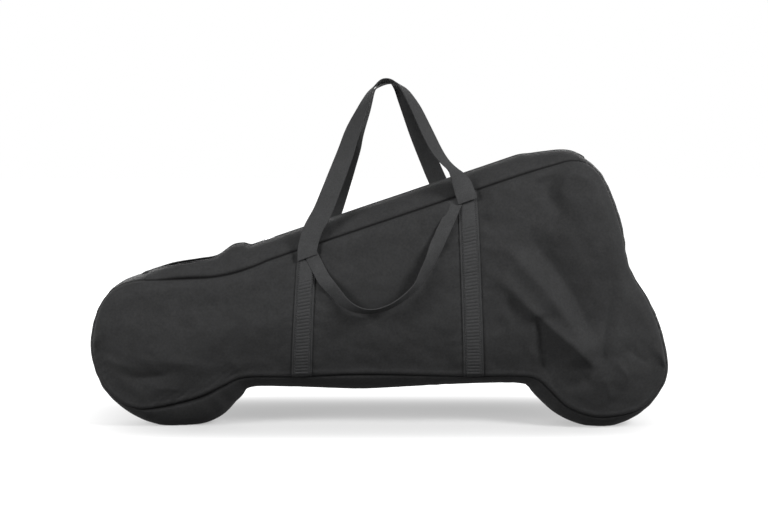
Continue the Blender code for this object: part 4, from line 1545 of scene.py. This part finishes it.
# Slider, its pin and its puller
slider = {
    "length": 0.017,
    "wall": 0.0012,
    "taper": 0.82,
    "flangeShare": 0.98,
    "clear": 0.0004,
    "start": 0.001,
    "earHeight": 0.0046,
    "earLength": 0.0060,
    "earSpace": 0.0044,
    "earSink": 0.0003,
    "pin": 0.0008,
    "pinProud": 0.0003,
    "pinBevel": 0.0003,
    "barrel": 0.0018,
    "pinClear": 0.00025,
    "bevel": 0.00045,
}
puller = {
    "length": 0.034,
    "width": 0.0090,
    "wall": 0.0014,
    "taper": 0.86,
    "bevel": 0.0006,
    "neckStart": 0.0008,
    "neckLap": 0.003,
    "neckWall": 0.9,
    "neckBevel": 0.0003,
    "ringRadius": 0.0013,
    "ringWire": 0.0005,
    "holeRadius": 0.0024,
    "holeDepth": 0.01,
    "holeInset": 0.0055,
}


def sliderPlace():
    # the slider's middle at rest, just inside the start of the track
    back = (zipper["rampX"] - trackStart[0]) / slope[0]
    point = trackStart + slope * (back + slider["length"] / 2 + slider["start"])
    return Matrix.Translation(point) @ Matrix.Rotation(-bag["rampAngle"], 4, "Y")


def metalPiece(parts, name, place, body, node):
    item = joinAll(parts, name)
    item.data.transform(place)
    smooth(item, 40)
    return finishPiece(item, metalMaterial, body, "slider_metal", node)


def makeSlider(plateLow, plateTop, place):
    wall = slider["wall"]
    innerHalf = gap + zipper["coilWidth"] + slider["clear"]
    flangeLow = tapeLift + slider["clear"]
    flangeHigh = plateTop - flangeLow
    earHigh = slider["earHeight"]
    parts = [roundedBox("plate", (slider["length"], 2 * (innerHalf + wall), wall),
                        (0, 0, plateLow + wall / 2), slider["bevel"], slider["taper"])]
    for side in sides.values():
        parts.append(roundedBox("flange", (slider["length"] * slider["flangeShare"], wall, flangeHigh),
                                (0, side * (innerHalf + wall / 2), flangeLow + flangeHigh / 2),
                                slider["bevel"]))
        parts.append(roundedBox("ear", (slider["earLength"], wall, earHigh),
                                (0, side * (slider["earSpace"] + wall) / 2,
                                 plateTop + earHigh / 2 - slider["earSink"]), slider["bevel"]))
    metalPiece(parts, "slider_body", place, "slider", "zip_slider")


def makePin(place):
    length = slider["earSpace"] + 2 * slider["wall"] + 2 * slider["pinProud"]
    pin = roundBar(slider["pin"], length, (math.pi / 2, 0, 0), 24)
    pin.name = "slider_pin_rivet"
    applyModifier(pin, "BEVEL", width=slider["pinBevel"], segments=2, limit_method="ANGLE",
                  angle_limit=math.radians(50))
    pin.data.transform(place)
    finishPiece(pin, metalMaterial, "slider", "slider_metal", "slider_pin")


def makePuller(pinHeight, place):
    barrel = slider["earSpace"] - 2 * slider["pinClear"]
    neckEnd = slider["earLength"] / 2 + puller["neckLap"]
    tabLength = puller["length"] - neckEnd
    tab = roundedBox("pull_tab", (tabLength, puller["width"], puller["wall"]),
                     (neckEnd + tabLength / 2, 0, 0), puller["bevel"], puller["taper"])
    neck = roundedBox("pull_neck", (neckEnd, barrel, puller["wall"] * puller["neckWall"]),
                      (neckEnd / 2 + puller["neckStart"], 0, 0), puller["neckBevel"])
    startClean()
    bpy.ops.mesh.primitive_torus_add(major_segments=24, minor_segments=8, rotation=(math.pi / 2, 0, 0),
                                     major_radius=puller["ringRadius"],
                                     minor_radius=puller["ringWire"])
    ring = bpy.context.active_object
    bpy.ops.object.transform_apply(location=True, rotation=True, scale=True)
    ring.data.transform(Matrix.Diagonal((1.0, barrel / (2 * puller["ringWire"]), 1.0, 1.0)))
    startClean()
    bpy.ops.mesh.primitive_cylinder_add(vertices=32, radius=puller["holeRadius"],
                                        depth=puller["holeDepth"],
                                        location=(puller["length"] - puller["holeInset"], 0, 0))
    hole = bpy.context.active_object
    applyModifier(tab, "BOOLEAN", operation="DIFFERENCE", object=hole)
    bpy.data.objects.remove(hole, do_unlink=True)
    droop = math.asin((pinHeight - puller["wall"] / 2 - slider["clear"]) / puller["length"])
    metalPiece([tab, neck, ring], "puller_tab", place @ Matrix.Rotation(droop, 4, "Y"), "puller",
               "zip_puller")


plateLow = tapeLift + gap + zipper["coilHeight"] + slider["clear"]
plateTop = plateLow + slider["wall"]
pinHeight = plateTop + slider["barrel"] + slider["clear"]
place = sliderPlace()
pinPlace = place @ Matrix.Translation((0, 0, pinHeight))
makeSlider(plateLow, plateTop, place)
makePin(pinPlace)
makePuller(pinHeight, pinPlace)
print("slider made")

# Floor, world, lamps and camera
studio = {
    "floorSize": 30.0,
    "floorColour": 0.36,
    "floorBounce": 0.13,
    "floorRough": 0.95,
    # the camera sees the floor's glow rise from the first value near the bag to white far off; the low
    # glow round the bag is painted shade standing in for its soft shadow
    "floorGlowAndPaintedShade": (0.33, 1.1),
    "paintedShadeReach": (0.72, 0.26),
    "paintedShadeMiddle": 0.04,
    "paintedShadeFade": (0.10, 1.30),
    "ambient": 0.12,
    "target": (0.0, 0.0, 0.25),
}
lamps = {
    "key": {"place": (2.15, -1.66, 1.84), "power": 101.0, "size": 0.9},
    "fill": {"place": (-2.42, -1.62, 1.36), "power": 73.0, "size": 1.2},
    "front": {"place": (0.23, -2.61, 2.09), "power": 14.0, "size": 1.2},
    "back": {"place": (0.95, 2.60, 0.95), "power": 48.0, "size": 1.4},
    "behind": {"place": (-0.95, 2.60, 0.85), "power": 42.0, "size": 1.4},
}
eye = {"place": (0.009, -2.7893, 0.580), "tilt": math.radians(85.0), "lens": 65.6, "sensor": 36.0}
white = (1, 1, 1, 1)


def seenDirectly(owner):
    # 1 for rays that reach the camera, also by a mirror or through glass, and 0 for lighting
    rays = addNode(owner, "ShaderNodeLightPath")
    seen = mixMath(owner, "MAXIMUM", rays.outputs["Is Camera Ray"], rays.outputs["Is Glossy Ray"])
    return mixMath(owner, "MAXIMUM", seen, rays.outputs["Is Transmission Ray"])


def makeFloor():
    startClean()
    bpy.ops.mesh.primitive_plane_add(size=studio["floorSize"])
    floor = bpy.context.active_object
    floor.name = "studio_floor"
    colour = (studio["floorColour"],) * 3
    material = newMaterial("floor_paper", colour, studio["floorRough"], 0.0, 0.0)
    shader = shaderOf(material)
    seen = seenDirectly(material)
    where = addNode(material, "ShaderNodeTexCoord")
    near = addNode(material, "ShaderNodeMapping", {"Scale": (*studio["paintedShadeReach"], 1.0),
                                                   "Location": (0.0, studio["paintedShadeMiddle"], 0.0)},
                   vector_type="TEXTURE")
    link(material, where.outputs["Object"], near.inputs["Vector"])
    square = addNode(material, "ShaderNodeVectorMath", operation="MULTIPLY")
    link(material, near.outputs["Vector"], square.inputs[0])
    link(material, near.outputs["Vector"], square.inputs[1])
    away = addNode(material, "ShaderNodeVectorMath", operation="LENGTH")
    link(material, square.outputs["Vector"], away.inputs[0])
    fade = addNode(material, "ShaderNodeMapRange",
                   {"From Min": studio["paintedShadeFade"][0], "From Max": studio["paintedShadeFade"][1],
                    "To Min": studio["floorGlowAndPaintedShade"][0], "To Max": studio["floorGlowAndPaintedShade"][1]},
                   interpolation_type="SMOOTHSTEP")
    link(material, away.outputs["Value"], fade.inputs["Value"])
    shader.inputs["Emission Color"].default_value = white
    # white far from the bag, painted shade close round it
    glowAndPaintedShade = mixMath(material, "MULTIPLY", seen, fade.outputs["Result"])
    link(material, glowAndPaintedShade, shader.inputs["Emission Strength"])
    tone = addNode(material, "ShaderNodeMix", data_type="RGBA")
    tone.inputs["A"].default_value = (*(studio["floorBounce"],) * 3, 1.0)
    tone.inputs["B"].default_value = (*colour, 1.0)
    link(material, seen, tone.inputs["Factor"])
    link(material, tone.outputs["Result"], shader.inputs["Base Color"])
    floor.data.materials.append(material)


def makeWorld():
    world = bpy.data.worlds.new("studio_world")
    bpy.context.scene.world = world
    world.use_nodes = True
    world.node_tree.nodes.clear()
    out = addNode(world, "ShaderNodeOutputWorld")
    lit = addNode(world, "ShaderNodeBackground", {"Color": white, "Strength": studio["ambient"]})
    shown = addNode(world, "ShaderNodeBackground", {"Color": white})
    mix = addNode(world, "ShaderNodeMixShader")
    link(world, seenDirectly(world), mix.inputs["Fac"])
    link(world, lit.outputs[0], mix.inputs[1])
    link(world, shown.outputs[0], mix.inputs[2])
    link(world, mix.outputs[0], out.inputs["Surface"])


def makeLamp(name, place, power, size):
    lamp = bpy.data.lights.new(name, "AREA")
    lamp.energy = power
    lamp.size = size
    item = newObject(name, lamp)
    item.location = place
    aim = Vector(studio["target"]) - Vector(place)
    item.rotation_euler = aim.to_track_quat("-Z", "Y").to_euler()


def makeCamera():
    data = bpy.data.cameras.new("camera")
    data.lens = eye["lens"]
    data.sensor_width = eye["sensor"]
    camera = newObject("camera", data)
    camera.location = eye["place"]
    camera.rotation_euler = (eye["tilt"], 0, 0)
    bpy.context.scene.camera = camera


makeFloor()
makeWorld()
for name, lamp in lamps.items():
    makeLamp(name + "_lamp", **lamp)
makeCamera()
bpy.context.scene.view_settings.view_transform = "Standard"
print("studio made")
